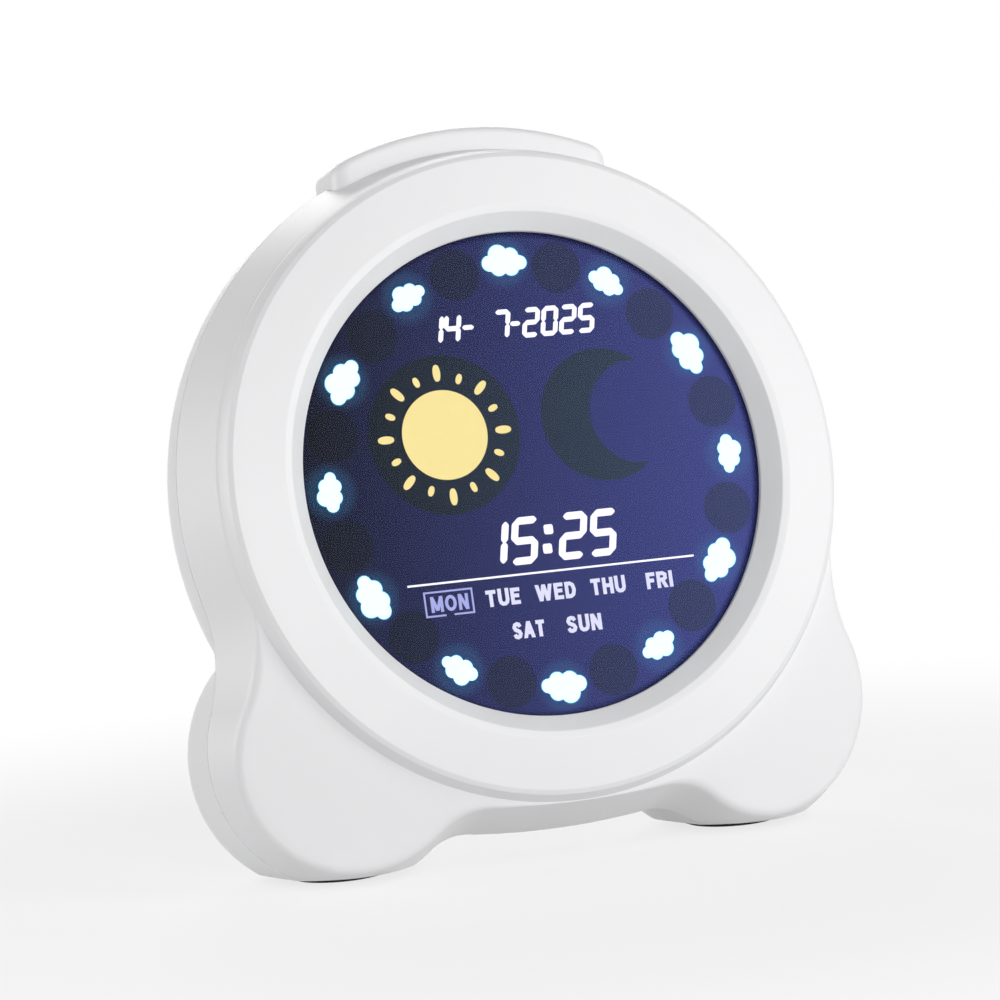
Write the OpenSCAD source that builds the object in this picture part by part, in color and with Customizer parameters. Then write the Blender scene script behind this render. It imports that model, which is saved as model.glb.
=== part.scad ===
/* [Case] */
// Diameter of the opening in front of the display, mm
opening_d = 91; // [88:0.5:92]
// Width of the front ring from the opening to the side wall, mm
ring_w = 14.5; // [14:0.1:16]
// Depth from the ring's front lip to the flat back, mm
case_depth = 45.5; // [44:0.5:52]
// Depth at which the rear cover meets the front case, mm
seam_y = 18.8; // [18.8:0.1:20]
// Outward growth of the side wall for each mm of depth
flare = 0.30; // [0.26:0.01:0.33]
// Distance of each foot's centre from the middle line, mm
foot_x = 40.4; // [39.6:0.2:41.4]
// Distance of the foot centres below the display centre, mm
foot_drop = 46; // [45.2:0.2:46.8]
// Radius of a foot lobe at the front edge, mm
foot_r = 20.3; // [19.9:0.1:20.8]
// Thickness of the moulded case walls, mm
wall = 2.2; // [2:0.1:2.4]
// Backward lean of the face when the clock stands, degrees
lean = 10; // [8:0.5:12]

/* [Bar button] */
// Length of the bar button across the top, mm
bar_len = 56; // [52:0.5:57]
// Height of the bar button above the ring's edge circle, mm
bar_rise = 8.3; // [7.8:0.1:8.8]
// Travel of the bar button when pressed, mm
bar_travel = 0.8; // [0.5:0.1:0.9]

/* [Display] */
// Thickness of the clear window, mm
window_t = 1.5; // [1:0.1:1.5]
// Thickness of one sheet of display glass, mm
glass_t = 1.1; // [0.7:0.1:1.1]
// Thickness of the light guide behind the display, mm
guide_t = 3; // [2:0.1:3]

/* [Back] */
// Radius of a round key, mm
key_r = 3.6; // [3:0.1:3.8]
// Travel of a key when pressed, mm
key_travel = 0.7; // [0.4:0.1:0.7]
// Distance between two neighbouring keys, mm
key_pitch = 12; // [11.6:0.1:12.4]
// Travel of the slide knob from end to end, mm
knob_travel = 4; // [2:0.2:4]
// Diameter of a battery cell, mm
cell_d = 10.5; // [10:0.1:10.5]
// Length of a battery cell with its nub, mm
cell_len = 44.5; // [43.5:0.1:44.5]

/* [Fixings] */
// Radius of the case screw shank, mm
case_screw_r = 1.35; // [1.2:0.05:1.5]
// Radius of the small screw shank, mm
small_screw_r = 1; // [0.9:0.05:1.1]
// How far the rubber pads stand out below the feet, mm
pad_proud = 1.6; // [1.2:0.1:2]

/* [Hidden] */

// Directions: x to the viewer's right, y from the face to the back, z up the face.
// The origin of this working frame is the display centre at the ring's front lip.
round_fn = 96;
small_fn = 48;
eps = 0.01;
cut = 0.5;

// Colours
white_plastic = [0.93, 0.93, 0.92];
clear_plastic = [0.75, 0.82, 0.88];
display_navy = [0.16, 0.17, 0.36];
board_green = [0.10, 0.36, 0.20];
dark_plastic = [0.12, 0.12, 0.13];
grey_rubber = [0.22, 0.22, 0.23];
steel = [0.70, 0.71, 0.73];
brass_like = [0.80, 0.68, 0.36];
cell_blue = [0.20, 0.33, 0.55];

// Case outline
open_r = opening_d / 2;
ring_r = open_r + ring_w;
lip_in = 4.5;
lip_r = open_r + lip_in;
edge_y = 1.5;
funnel_y = 3.6;
skirt_y = funnel_y + 0.8;
skirt_grow = 1.3;
skirt_low = skirt_y + 2.8;
face_slope = 0.3;
neck_r = 37.8;
belly_over = 0.6;
belly_drop = ring_r + belly_over;
belly_big_r = 150;
belly_r = 16;
inner_r = ring_r - 1.2;

// Rear cover
dome_land = 2.7;
dome_round = 24;
dome_r = min(dome_round, case_depth - seam_y - dome_land);
stub_step = 1.5;
stub_round = 14;
web_back = case_depth - 13.5;
web_fade = 4;
web_step = 0.1;

// Soles
sole_y = 13.1;
sole_out = 3.6;
sole_z = foot_drop + foot_r + sole_out;
pad_in = 0.6;
pad_t = pad_proud + pad_in;
pad_len = 20;
pad_half = 8.5;
pad_y = case_depth - 15;

// Display stack, depths from the lip
rim_r = open_r + 3.5;
rim_t = 2;
window_y = skirt_y;
lcd_r = rim_r - 0.5;
ledge_z = -open_r + 2.5;
diffuser_t = 0.5;
guide_r = lcd_r - 1;
guide_half = guide_r - 3.5;
frame_t = 1.4;
board_t = 1.6;
board_r = rim_r + 1;
ear_r = inner_r - 4;
ear_pad_r = 3.2;
post_pad_r = ear_pad_r - 0.3;
post_long = 2.4;
strip_half = 15;
strip_t = 2.4;
lamp_t = 1.1;
lamp_half = 1.4;
lamp_step = 6;

// Parts on the main board
blob_c = [-12, 6];
blob_r = 9;
blob_t = 3;
chip_c = [6, 2];
chip_w = 11;
chip_t = 1.6;
block_c = [22, -12];
block_w = 12;
block_h = 7;
block_t = 2.6;
can_c = [-26, -20];
can_r = 2.6;
can_h = 6;
can_step = 10;
pin_c = [-8, -18];
pin_w = 2;
pin_h = 1.2;
pin_t = 0.9;
pin_step = 5;

// Bar button
bar_y = 13.5;
bar_depth = 15;
bar_corner = 3.5;
bar_bevel = 0.8;
bar_wall = 1.8;
bar_lip = 0.9;
bar_lip_t = 1.2;
bar_lip_gap = 0.7;
bar_gap = 0.3;
post_in = 8;
post_r = 1.5;
bar_key_x = 10;
peg_r = 2;
cradle_drop = 9.9;
cradle_t = 1.9;
cradle_w = 9;
guide_tube_r = 2.6;
guide_tube_h = 4.4;
leg_w = 7;
leg_t = 1.8;
leg_drop = 5;

// Tact switches
tact = 6;
tact_h = 3.4;
stem_r = 1.7;
stem_in = 0.6;
stem_gap = 0.1;
stem_spare = 0.3;
stem_deep = 0.4;

// Back panel
key_row_up = 9.5;
key_proud = 1.2;
key_lip = 0.8;
key_lip_t = 1;
key_gap = 0.3;
key_board_spare = 11;
key_board_h = 11;
key_post_in = 3;
speaker_x = -7;
speaker_up = 6;
speaker_r = 11;
speaker_h = 8.3;
grille_r = 0.9;
grille_step = 3;
knob_x = 20;
knob_up = 16;
knob_half = 2.6;
knob_h = 2.1;
knob_pin = 1.3;
switch_half = 6;
bay_mid = -15.5;
bay_spare = 0.6;
bay_wall = 2;
cell_gap = 1.3;
cell_lift = 0.55;
cell_cover = 2.95;
nub_r = 1.9;
spring_len = 5.5;
plate_t = 0.5;
plate_in = 0.75;
// Side of the bay, first cell and last cell that each plate joins
plates = [[1, 0, 1], [1, 2, 2], [-1, 0, 0], [-1, 1, 2]];
door_gap = 0.2;
door_edge = 1;
door_t = 2.1;
door_ear_r = 4;
door_ear_seat = 1.3;
thread_gap = 0.06;
socket_off = 9;
socket_z = -8;
socket_half = 4.5;
socket_r = 1.6;
socket_h = 7.2;
top_screw_in = 3.28;
top_screw_a = 20;
foot_screw_off = [2.6, -4];
seat_in = 8.2;

// Screws and bosses
screw_long = 17.5;
small_screw_long = 6.5;
head_r = 2;
head_t = 1.4;
case_head_r = 2.9;
case_head_t = 2;
well_r = case_head_r + 0.3;
boss_r = 3.5;
cover_boss_r = 4.6;

// Derived values
foot_c = [foot_x, -foot_drop];
seam_grow = flare * (seam_y - edge_y);
seam_r = ring_r + seam_grow;
foot_seam_r = foot_r + seam_grow;
bar_top_r = ring_r + bar_rise;
bar_half = bar_len / 2;
bar_back = bar_y + bar_depth;
bar_lip_r = min(ring_r + grow(bar_y), dome_out(bar_back + bar_lip)) - wall - bar_lip_gap;
bar_skirt_r = bar_lip_r - bar_lip_t;
bar_slot_low = sqrt(pow(bar_skirt_r, 2) - pow(bar_half + bar_gap, 2));
post_x = bar_half - post_in;
post_y = bar_back - 4.7;
cradle_z = bar_skirt_r - cradle_drop;
post_low = cradle_z + 0.8;
cradle_back = bar_back - 0.2;
cradle_front = cradle_back - cradle_w;
cradle_half = bar_half - 2.5;
cradle_screw = [cradle_half - leg_w / 2, cradle_z - leg_drop / 2];
back_in = case_depth - wall;
stub_back = case_depth - stub_step;
stub_straight = stub_back - stub_round;
lcd_y = window_y + window_t;
diffuser_y = lcd_y + 2 * glass_t;
guide_y = diffuser_y + diffuser_t;
frame_y = guide_y + guide_t;
board_y = frame_y + frame_t + post_long;
parts_y = board_y + board_t;
cell_pitch = cell_d + cell_gap;
bay_half = (cell_len + spring_len) / 2 + plate_t;
bay_tall = 3 * cell_pitch + bay_spare;
bay_low = bay_mid - bay_tall / 2;
bay_high = bay_mid + bay_tall / 2;
bay_depth = cell_lift + cell_d + cell_cover;
door_ear_z = bay_low - door_ear_r + 1;
key_z = bay_high + key_row_up;
key_board_half = 2.5 * key_pitch + key_board_spare;
key_post = [key_board_half - key_post_in, key_z];
speaker_c = [speaker_x, key_z + speaker_r + speaker_up];
knob_c = [knob_x, key_z + knob_up];
socket_c = [bay_half + socket_off, socket_z];
top_screw = (ring_r - top_screw_in) * [cos(top_screw_a), sin(top_screw_a)];
foot_screw = foot_c + foot_screw_off;
seat_y = seam_y + seat_in;
key_stem_top = back_in - key_lip_t;
key_floor = key_stem_top - key_travel - tact_h;
key_board_y = key_floor - board_t;
bar_stem_out = bar_travel + stem_spare;
speaker_y = back_in - speaker_h;
socket_y = case_depth - socket_h;
bay_floor = case_depth - bay_depth;
cell_y = bay_floor + cell_lift + cell_d / 2;
cell_shift = spring_len / 2;
sole_down = sole_y * sin(lean) + sole_z * cos(lean);
rise = sole_down + pad_proud;
ring_profile = [[open_r, funnel_y], [lip_r - 1.4, 0.35], [lip_r - 0.8, 0.08], [lip_r, 0],
    [ring_r - 0.7, 1.4], [ring_r - 0.2, 1.62], [ring_r + 0.1, 2],
    [ring_r + skirt_grow, skirt_y], [ring_r + skirt_grow, skirt_low], [inner_r, skirt_low],
    [inner_r, funnel_y], [rim_r + rim_t, funnel_y], [rim_r + rim_t, frame_y],
    [rim_r, frame_y], [rim_r, window_y], [open_r, window_y]];
front_reach = min([for (p = ring_profile) p[1] * cos(lean) - p[0] * sin(lean)]);
back_reach = (case_depth - dome_r) * cos(lean) + (seam_r - dome_r) * sin(lean) + dome_r;
mid_y = -(front_reach + back_reach) / 2;

function grow(y) = flare * (y - edge_y);

// Radius of the rear cover's dome at depth y
function dome_out(y) = seam_r - dome_r
    + sqrt(pow(dome_r, 2) - pow(max(y - case_depth + dome_r, 0), 2));

// Centre of the circle of radius r that touches two circles from outside
function touch(a, ra, b, rb, r, side) =
    let (d = norm(b - a), p = ra + r, q = rb + r,
         u = (d * d + p * p - q * q) / (2 * d),
         v = side * sqrt(p * p - u * u), e = (b - a) / d)
    [a[0] + u * e[0] - v * e[1], a[1] + u * e[1] + v * e[0]];

neck_c = touch([0, 0], ring_r, foot_c, foot_r, neck_r, 1);
belly_o = [0, belly_big_r - belly_drop];
belly_c = touch(belly_o, belly_big_r, foot_c, foot_r, belly_r, -1);
belly_half = belly_c[0] + web_step;
belly_top = -belly_drop / 2;

function board_holes() = [for (a = [45, 135, 225, 315]) [ear_r * cos(a), ear_r * sin(a)]];
function key_x(i) = (i - 2.5) * key_pitch;
function cell_z(i) = (bay_low + bay_high) / 2 + (i - 1) * cell_pitch;

// Sets the working frame down on its pads, leaning back
module stand() {
    translate([0, mid_y, rise]) rotate([-lean, 0, 0]) children();
}

// Extrudes a drawing in x and z from depth y0 to depth y1
module along_y(y0, y1) {
    translate([0, y1, 0]) rotate([90, 0, 0]) linear_extrude(y1 - y0) children();
}

module cyl_y(c, r, y0, y1) {
    translate([c[0], y1, c[1]]) rotate([90, 0, 0]) cylinder(h = y1 - y0, r = r, $fn = small_fn);
}

module cone_y(c, r0, r1, y0, y1) {
    translate([c[0], y1, c[1]]) rotate([90, 0, 0])
        cylinder(h = y1 - y0, r1 = r1, r2 = r0, $fn = round_fn);
}

module tube_y(c, r_in, r_out, y0, y1) {
    difference() {
        cyl_y(c, r_out, y0, y1);
        cyl_y(c, r_in, y0 - cut, y1 + cut);
    }
}

module box(x0, x1, y0, y1, z0, z1) {
    translate([x0, y0, z0]) cube([x1 - x0, y1 - y0, z1 - z0]);
}

// Turns a drawing of radius and depth about the face axis through c
module spin(c) {
    translate([c[0], 0, c[1]]) rotate([-90, 0, 0]) rotate_extrude($fn = round_fn) children();
}

module both() {
    children();
    mirror([1, 0, 0]) children();
}

// Outline of ring, feet, necks and belly, grown by g0 at depth y0 and g1 at depth y1
module outline_layer(y0, y1, g0, g1) {
    k = (g1 - g0) / (y1 - y0) * cut;
    neck_in = neck_r + web_step;
    belly_in = belly_r + web_step;
    cone_y([0, 0], ring_r + g0, ring_r + g1, y0, y1);
    both() {
        cone_y(foot_c, foot_r + g0, foot_r + g1, y0, y1);
        difference() {
            along_y(y0, y1) polygon([[0, 0], neck_c, foot_c]);
            cone_y(neck_c, neck_in - g0 + k, neck_in - g1 - k, y0 - cut, y1 + cut);
        }
        difference() {
            along_y(y0, y1) polygon([[belly_c[0], belly_top], belly_c, foot_c]);
            cone_y(belly_c, belly_in - g0 + k, belly_in - g1 - k, y0 - cut, y1 + cut);
        }
    }
    difference() {
        intersection() {
            cone_y(belly_o, belly_big_r + g0, belly_big_r + g1, y0, y1);
            box(-belly_half, belly_half, y0, y1, belly_c[1], belly_top);
        }
        both() cone_y(belly_c, belly_in - g0 + k, belly_in - g1 - k, y0 - cut, y1 + cut);
    }
}

// Everything below the soles, raised by up
module under_soles(up) {
    rotate([lean, 0, 0]) translate([-100, -60, -sole_down + up - 60]) cube([200, 160, 60]);
}

module foot_screw_spots() {
    both() translate([foot_screw[0], 0, foot_screw[1]]) children();
}

module top_screw_spots() {
    both() translate([top_screw[0], 0, top_screw[1]]) children();
}

// Upright block with a rounded-corner plan
module round_plan(half, y0, y1, r, z0, z1) {
    translate([0, 0, z0]) linear_extrude(z1 - z0) {
        translate([-half + r, y0]) square([2 * (half - r), y1 - y0]);
        translate([-half, y0 + r]) square([2 * half, y1 - y0 - 2 * r]);
        for (x = [-half + r, half - r], y = [y0 + r, y1 - r])
            translate([x, y]) circle(r, $fn = small_fn);
    }
}

module bar_slot() {
    round_plan(bar_half + bar_gap, bar_y - bar_gap, bar_back + bar_gap,
        bar_corner + bar_gap, bar_slot_low, bar_top_r + 5);
}

// Front case

module front_body() {
    y_far = seam_y + 1;
    in_y = skirt_y + wall * 0.75;
    difference() {
        intersection() {
            outline_layer(skirt_y, seam_y, grow(skirt_y), seam_grow);
            cone_y([0, 0], ring_r + skirt_grow,
                ring_r + skirt_grow + (seam_y - skirt_y) / face_slope, skirt_y, seam_y);
        }
        difference() {
            intersection() {
                outline_layer(skirt_y + 1, y_far, grow(skirt_y + 1) - wall, grow(y_far) - wall);
                cone_y([0, 0], inner_r, inner_r + (y_far - in_y) / face_slope, in_y, y_far);
            }
            under_soles(wall);
        }
        cyl_y([0, 0], inner_r, skirt_y - cut, in_y + cut);
    }
}

module front_case() color(white_plastic) stand() {
    boss_y = seam_y - 0.5;
    difference() {
        union() {
            front_body();
            spin([0, 0]) polygon(ring_profile);
            for (p = board_holes()) cyl_y(p, ear_pad_r, funnel_y - 0.2, frame_y);
            top_screw_spots() cyl_y([0, 0], boss_r, funnel_y, boss_y);
            foot_screw_spots() cyl_y([0, 0], boss_r, skirt_low + 0.3, boss_y);
        }
        under_soles(0);
        pad_shape(0.1);
        bar_slot();
        for (p = board_holes()) cyl_y(p, small_screw_r, frame_y - 6.6, frame_y + cut);
        top_screw_spots() cyl_y([0, 0], case_screw_r, boss_y - 11.3, boss_y + cut);
        foot_screw_spots() cyl_y([0, 0], case_screw_r, boss_y - 9.3, boss_y + cut);
    }
}

// Rear cover

module dome_drawing(inset) {
    r = dome_r - inset;
    mid_r = seam_r - dome_r;
    mid = case_depth - dome_r;
    translate([0, seam_y]) square([seam_r - inset, mid - seam_y]);
    translate([0, seam_y]) square([mid_r, case_depth - inset - seam_y]);
    translate([mid_r, mid]) intersection() {
        circle(r, $fn = round_fn);
        square(r + 1);
    }
}

module stub_drawing(inset) {
    round_r = stub_round - inset;
    r = foot_seam_r - inset;
    translate([0, seam_y]) square([r, stub_straight - seam_y]);
    translate([0, seam_y]) square([r - round_r, stub_back - inset - seam_y]);
    translate([r - round_r, stub_straight]) intersection() {
        circle(round_r, $fn = round_fn);
        square(round_r + 1);
    }
}

module rear_webs() {
    fade = web_fade / (web_back - seam_y) * cut;
    neck_in = neck_r - seam_grow + web_step;
    belly_in = belly_r - seam_grow + web_step;
    both() {
        difference() {
            along_y(seam_y, web_back) polygon([[0, 0], neck_c, foot_c]);
            cone_y(neck_c, neck_in - fade, neck_in + web_fade + fade, seam_y - cut, web_back + cut);
        }
        difference() {
            along_y(seam_y, web_back) polygon([[belly_c[0], belly_top], belly_c, foot_c]);
            cone_y(belly_c, belly_in - fade, belly_in + web_fade + fade,
                seam_y - cut, web_back + cut);
        }
    }
    difference() {
        intersection() {
            cone_y(belly_o, belly_big_r + seam_grow, belly_big_r - 1, seam_y, web_back);
            box(-belly_half, belly_half, seam_y, web_back, belly_c[1], belly_top);
        }
        both() cone_y(belly_c, belly_in - fade, belly_in + web_fade + fade,
            seam_y - cut, web_back + cut);
    }
}

module cover_tongue() {
    difference() {
        union() {
            cone_y([0, 0], seam_r - wall - 0.8, seam_r - wall - 0.2, seam_y - 2, seam_y);
            cyl_y([0, 0], seam_r - wall + 0.5, seam_y, seam_y + 2);
        }
        cyl_y([0, 0], seam_r - wall - 2.1, seam_y - 3, seam_y + 3);
        box(-90, 90, seam_y - 3, seam_y + 3, -90, -12);
        box(-bar_half - 3, bar_half + 3, seam_y - 3, seam_y + 3, 0, 90);
    }
}

module grille() {
    for (ring = [0 : 2], i = [0 : max(ring * 6 - 1, 0)]) {
        a = ring == 0 ? 0 : i * 360 / (ring * 6);
        c = speaker_c + ring * grille_step * [cos(a), sin(a)];
        cyl_y(c, grille_r, back_in - 1, case_depth + 1);
    }
}

module door_outline(gap) {
    translate([-bay_half - door_edge - gap, bay_low - door_edge - gap])
        square([2 * (bay_half + door_edge + gap), bay_high - bay_low + 2 * (door_edge + gap)]);
    translate([0, door_ear_z]) circle(door_ear_r + gap, $fn = small_fn);
}

module bay_shell() {
    difference() {
        box(-bay_half - bay_wall, bay_half + bay_wall, bay_floor - 1.5, back_in + 1,
            bay_low - bay_wall, bay_high + bay_wall);
        box(-bay_half, bay_half, bay_floor, back_in + 3, bay_low, bay_high);
    }
}

module cover_posts() {
    both() cyl_y(key_post, 2.5, key_floor, back_in + 0.5);
    for (s = [-1, 1]) cyl_y([socket_c[0], socket_c[1] + s * (socket_half + 2)], 1.5,
        socket_y, back_in + 0.5);
    tube_y(speaker_c, speaker_r + 0.2, speaker_r + 1.2, back_in - 4.8, back_in + 0.3);
    cyl_y([0, door_ear_z], 3, bay_floor, back_in + 0.3);
}

module cover_bosses() {
    top_screw_spots() cyl_y([0, 0], cover_boss_r, seam_y - 0.3, case_depth);
    foot_screw_spots() cyl_y([0, 0], cover_boss_r, seam_y - 0.3, case_depth);
    both() cyl_y(cradle_screw, 2.6, cradle_back, case_depth);
}

module rear_cover() color(white_plastic) stand() {
    way = knob_travel / 2;
    difference() {
        union() {
            difference() {
                union() {
                    spin([0, 0]) dome_drawing(0);
                    both() spin(foot_c) stub_drawing(0);
                    rear_webs();
                }
                difference() {
                    union() {
                        translate([0, -cut, 0]) spin([0, 0]) dome_drawing(wall);
                        spin([0, 0]) dome_drawing(wall);
                        both() {
                            translate([0, -cut, 0]) spin(foot_c) stub_drawing(wall);
                            spin(foot_c) stub_drawing(wall);
                        }
                    }
                    under_soles(wall);
                }
            }
            intersection() {
                cover_bosses();
                union() {
                    spin([0, 0]) dome_drawing(eps);
                    both() spin(foot_c) stub_drawing(eps);
                }
            }
            bay_shell();
            cover_posts();
            cover_tongue();
        }
        under_soles(0);
        pad_shape(0.1);
        bar_slot();
        for (i = [0 : 5]) cyl_y([key_x(i), key_z], key_r + key_gap, back_in - 1, case_depth + 1);
        grille();
        cyl_y(speaker_c, speaker_r + 0.2, back_in - 4.8, back_in);
        top_screw_spots() {
            cyl_y([0, 0], case_screw_r + 0.25, seam_y - 4, seat_y + cut);
            cyl_y([0, 0], well_r, seat_y, case_depth + 2);
        }
        foot_screw_spots() {
            cyl_y([0, 0], case_screw_r + 0.25, seam_y - 4, seat_y + cut);
            cyl_y([0, 0], well_r, seat_y, case_depth + 2);
        }
        along_y(case_depth - door_t, case_depth + 1) door_outline(door_gap);
        box(-bay_half, bay_half, bay_floor, case_depth, bay_low, bay_high);
        cyl_y([0, door_ear_z], small_screw_r + thread_gap, bay_floor + 1, case_depth);
        both() cyl_y(key_post, small_screw_r, key_floor - cut, back_in - 0.8);
        both() cyl_y(cradle_screw, small_screw_r, cradle_back - 0.3, cradle_back + 5.7);
        translate([knob_c[0], 0, knob_c[1]]) {
            box(-way - knob_half - 0.6, way + knob_half + 0.6, case_depth - 1.2, case_depth + 1,
                -knob_h - 0.3, knob_h + 0.3);
            box(-way - knob_pin - 0.3, way + knob_pin + 0.3, back_in - 1, case_depth,
                -knob_pin, knob_pin);
        }
        along_y(back_in - 1, case_depth + 1) socket_drawing(socket_r + 0.2);
    }
}

// Display stack

module display_window() color(clear_plastic) stand()
    cyl_y([0, 0], rim_r - 0.3, window_y, window_y + window_t);

module lcd_panel() color(display_navy) stand() {
    cyl_y([0, 0], lcd_r, lcd_y, lcd_y + glass_t);
    intersection() {
        cyl_y([0, 0], lcd_r, lcd_y + glass_t, lcd_y + 2 * glass_t);
        box(-lcd_r, lcd_r, lcd_y, lcd_y + 3 * glass_t, ledge_z, lcd_r);
    }
}

module diffuser() color([0.9, 0.9, 0.9]) stand() intersection() {
    cyl_y([0, 0], guide_r, diffuser_y, diffuser_y + diffuser_t);
    box(-guide_r, guide_r, diffuser_y, diffuser_y + diffuser_t, ledge_z, guide_r);
}

module light_guide() color(clear_plastic) stand() intersection() {
    cyl_y([0, 0], guide_r, guide_y, guide_y + guide_t);
    box(-guide_half, guide_half, guide_y, guide_y + guide_t, ledge_z, guide_r);
}

module lamp_strips() color(board_green) stand() both() {
    strip_x = guide_half + lamp_t + 0.1;
    box(strip_x, strip_x + 0.8, guide_y, frame_y, -2 * lamp_step, 2 * lamp_step);
    for (i = [-1.5 : 1.5]) box(guide_half + 0.1, strip_x, guide_y + 0.3, frame_y - 0.3,
        i * lamp_step - lamp_half, i * lamp_step + lamp_half);
}

module board_holes_cut(r, y0, y1) {
    for (p = board_holes()) cyl_y(p, r, y0, y1);
}

module eared_disc(r, y0, y1) {
    cyl_y([0, 0], r, y0, y1);
    for (a = [45, 135, 225, 315]) rotate([0, -a, 0]) {
        box(0, ear_r, y0, y1, -ear_pad_r, ear_pad_r);
        cyl_y([ear_r, 0], ear_pad_r, y0, y1);
    }
}

module display_frame() color(white_plastic) stand() difference() {
    union() {
        eared_disc(rim_r + rim_t - 0.2, frame_y, frame_y + frame_t);
        difference() {
            tube_y([0, 0], guide_r + 0.3, rim_r - 0.2, diffuser_y, frame_y + cut);
            box(-strip_half - 4, strip_half + 4, diffuser_y - 1, frame_y + 1, -rim_r - 5, ledge_z + 1);
        }
        for (p = board_holes()) cyl_y(p, post_pad_r, frame_y + 0.5, board_y);
    }
    board_holes_cut(small_screw_r + 0.2, frame_y - 1, board_y + 1);
    box(-strip_half - 0.4, strip_half + 0.4, frame_y - 5, board_y,
        ledge_z - strip_t - 1, ledge_z - 0.4);
}

module main_board() color(board_green) stand() difference() {
    eared_disc(board_r, board_y, board_y + board_t);
    board_holes_cut(small_screw_r + 0.2, board_y - 1, board_y + 2);
}

module part_block(c, w, h, t) {
    box(c[0], c[0] + w, parts_y, parts_y + t, c[1], c[1] + h);
}

module board_parts() color(dark_plastic) stand() {
    blob_ball = blob_r - 1;
    spin(blob_c) intersection() {
        translate([0, parts_y - blob_ball + blob_t - 1]) circle(blob_ball, $fn = small_fn);
        translate([0, parts_y]) square([blob_r, blob_t]);
    }
    part_block(chip_c, chip_w, chip_w, chip_t);
    part_block(block_c, block_w, block_h, block_t);
    for (i = [0, 1]) cyl_y(can_c + [0, i * can_step], can_r, parts_y, parts_y + can_h);
    for (i = [0 : 3]) part_block(pin_c + [i * pin_step, 0], pin_w, pin_h, pin_t);
}

module connector_strip() color(grey_rubber) stand()
    box(-strip_half, strip_half, lcd_y + glass_t, board_y, ledge_z - strip_t - 0.7, ledge_z - 0.7);

module screw_y(c, shank_r, tip, seat, r, t) {
    difference() {
        union() {
            cyl_y(c, shank_r, tip, seat + eps);
            cyl_y(c, r, seat, seat + t);
        }
        for (turn = [0, 90]) translate([c[0], 0, c[1]]) rotate([0, turn, 0])
            box(-r * 0.6, r * 0.6, seat + t * 0.45, seat + t + 1, -0.3, 0.3);
    }
}

module board_screws() color(steel) stand()
    for (p = board_holes())
        screw_y(p, small_screw_r, frame_y - 5.6, parts_y, head_r, head_t);

// Bar button

module arc_block(r0, r1, half, y0, y1) {
    intersection() {
        difference() {
            cone_y([0, 0], r1, r1, y0, y1);
            cone_y([0, 0], r0, r0, y0 - cut, y1 + cut);
        }
        box(-half, half, y0, y1, 0, bar_top_r + 5);
    }
}

module bar_block(top_r, inset, low_r) {
    intersection() {
        arc_block(low_r, top_r, bar_half, bar_y, bar_back);
        round_plan(bar_half - inset, bar_y + inset, bar_back - inset,
            bar_corner - inset, 0, bar_top_r + 5);
    }
}

module bar_button() color(white_plastic) stand() {
    peg_low = cradle_z + cradle_t + board_t + tact_h + bar_stem_out;
    difference() {
        union() {
            bar_block(bar_top_r - bar_bevel, 0, bar_skirt_r);
            bar_block(bar_top_r, bar_bevel, bar_skirt_r);
            arc_block(bar_skirt_r, bar_lip_r, bar_half + bar_lip, bar_y - bar_lip, bar_back + bar_lip);
        }
        bar_block(bar_top_r - bar_wall, bar_wall, bar_skirt_r - 4);
    }
    both() {
        translate([post_x, post_y, post_low])
            cylinder(h = bar_top_r - bar_wall - 2.2 - post_low, r = post_r, $fn = small_fn);
        translate([bar_key_x, post_y, peg_low])
            cylinder(h = bar_top_r - bar_wall - 0.2 - peg_low, r = peg_r, $fn = small_fn);
    }
}

module bar_stems() color(dark_plastic) stand() {
    top = cradle_z + cradle_t + board_t + tact_h;
    both() translate([bar_key_x, post_y, top - stem_in])
        cylinder(h = stem_in + bar_stem_out, r = stem_r, $fn = small_fn);
}

module bar_cradle() color(white_plastic) stand() {
    z0 = cradle_z;
    difference() {
        union() {
            box(-cradle_half, cradle_half, cradle_front, cradle_back, z0, z0 + cradle_t);
            both() {
                box(cradle_half - leg_w, cradle_half, cradle_back - leg_t, cradle_back,
                    z0 - leg_drop, z0 + 1);
                translate([post_x, post_y, z0])
                    cylinder(h = cradle_t + guide_tube_h, r = guide_tube_r, $fn = small_fn);
            }
        }
        both() translate([post_x, post_y, z0 - 1])
            cylinder(h = cradle_t + guide_tube_h + 2, r = post_r + stem_gap, $fn = small_fn);
        both() cyl_y(cradle_screw, small_screw_r + 0.2, cradle_back - leg_t - 1, cradle_back + 1);
    }
}

module bar_board() color(board_green) stand() {
    half = post_x - guide_tube_r - 1.4;
    box(-half, half, cradle_front + 0.3, cradle_back - 0.3,
        cradle_z + cradle_t, cradle_z + cradle_t + board_t);
}

module bar_switches() color(dark_plastic) stand() {
    z0 = cradle_z + cradle_t + board_t;
    both() difference() {
        box(bar_key_x - tact / 2, bar_key_x + tact / 2, post_y - tact / 2, post_y + tact / 2,
            z0, z0 + tact_h);
        translate([bar_key_x, post_y, z0 + tact_h - stem_in - bar_travel - stem_deep])
            cylinder(h = tact_h, r = stem_r + stem_gap, $fn = small_fn);
    }
}

module cradle_screws() color(steel) stand() both() {
    seat = cradle_back - leg_t;
    cyl_y(cradle_screw, small_screw_r, seat - eps, seat + small_screw_long);
    cyl_y(cradle_screw, head_r, seat - head_t, seat);
}

// Speaker

module speaker() color(dark_plastic) stand() spin(speaker_c) {
    rim = speaker_r - 1.2;
    magnet = speaker_r - 4;
    polygon([[0, speaker_y], [magnet, speaker_y], [magnet, speaker_y + 3.4],
        [magnet + 1.4, speaker_y + 3.4], [rim, back_in - 1.7], [speaker_r, back_in - 1.3],
        [speaker_r, back_in], [rim, back_in], [rim - 0.6, back_in - 1.1],
        [magnet - 2, back_in - 2.7], [0, back_in - 2.1]]);
}

// Keys

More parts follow.
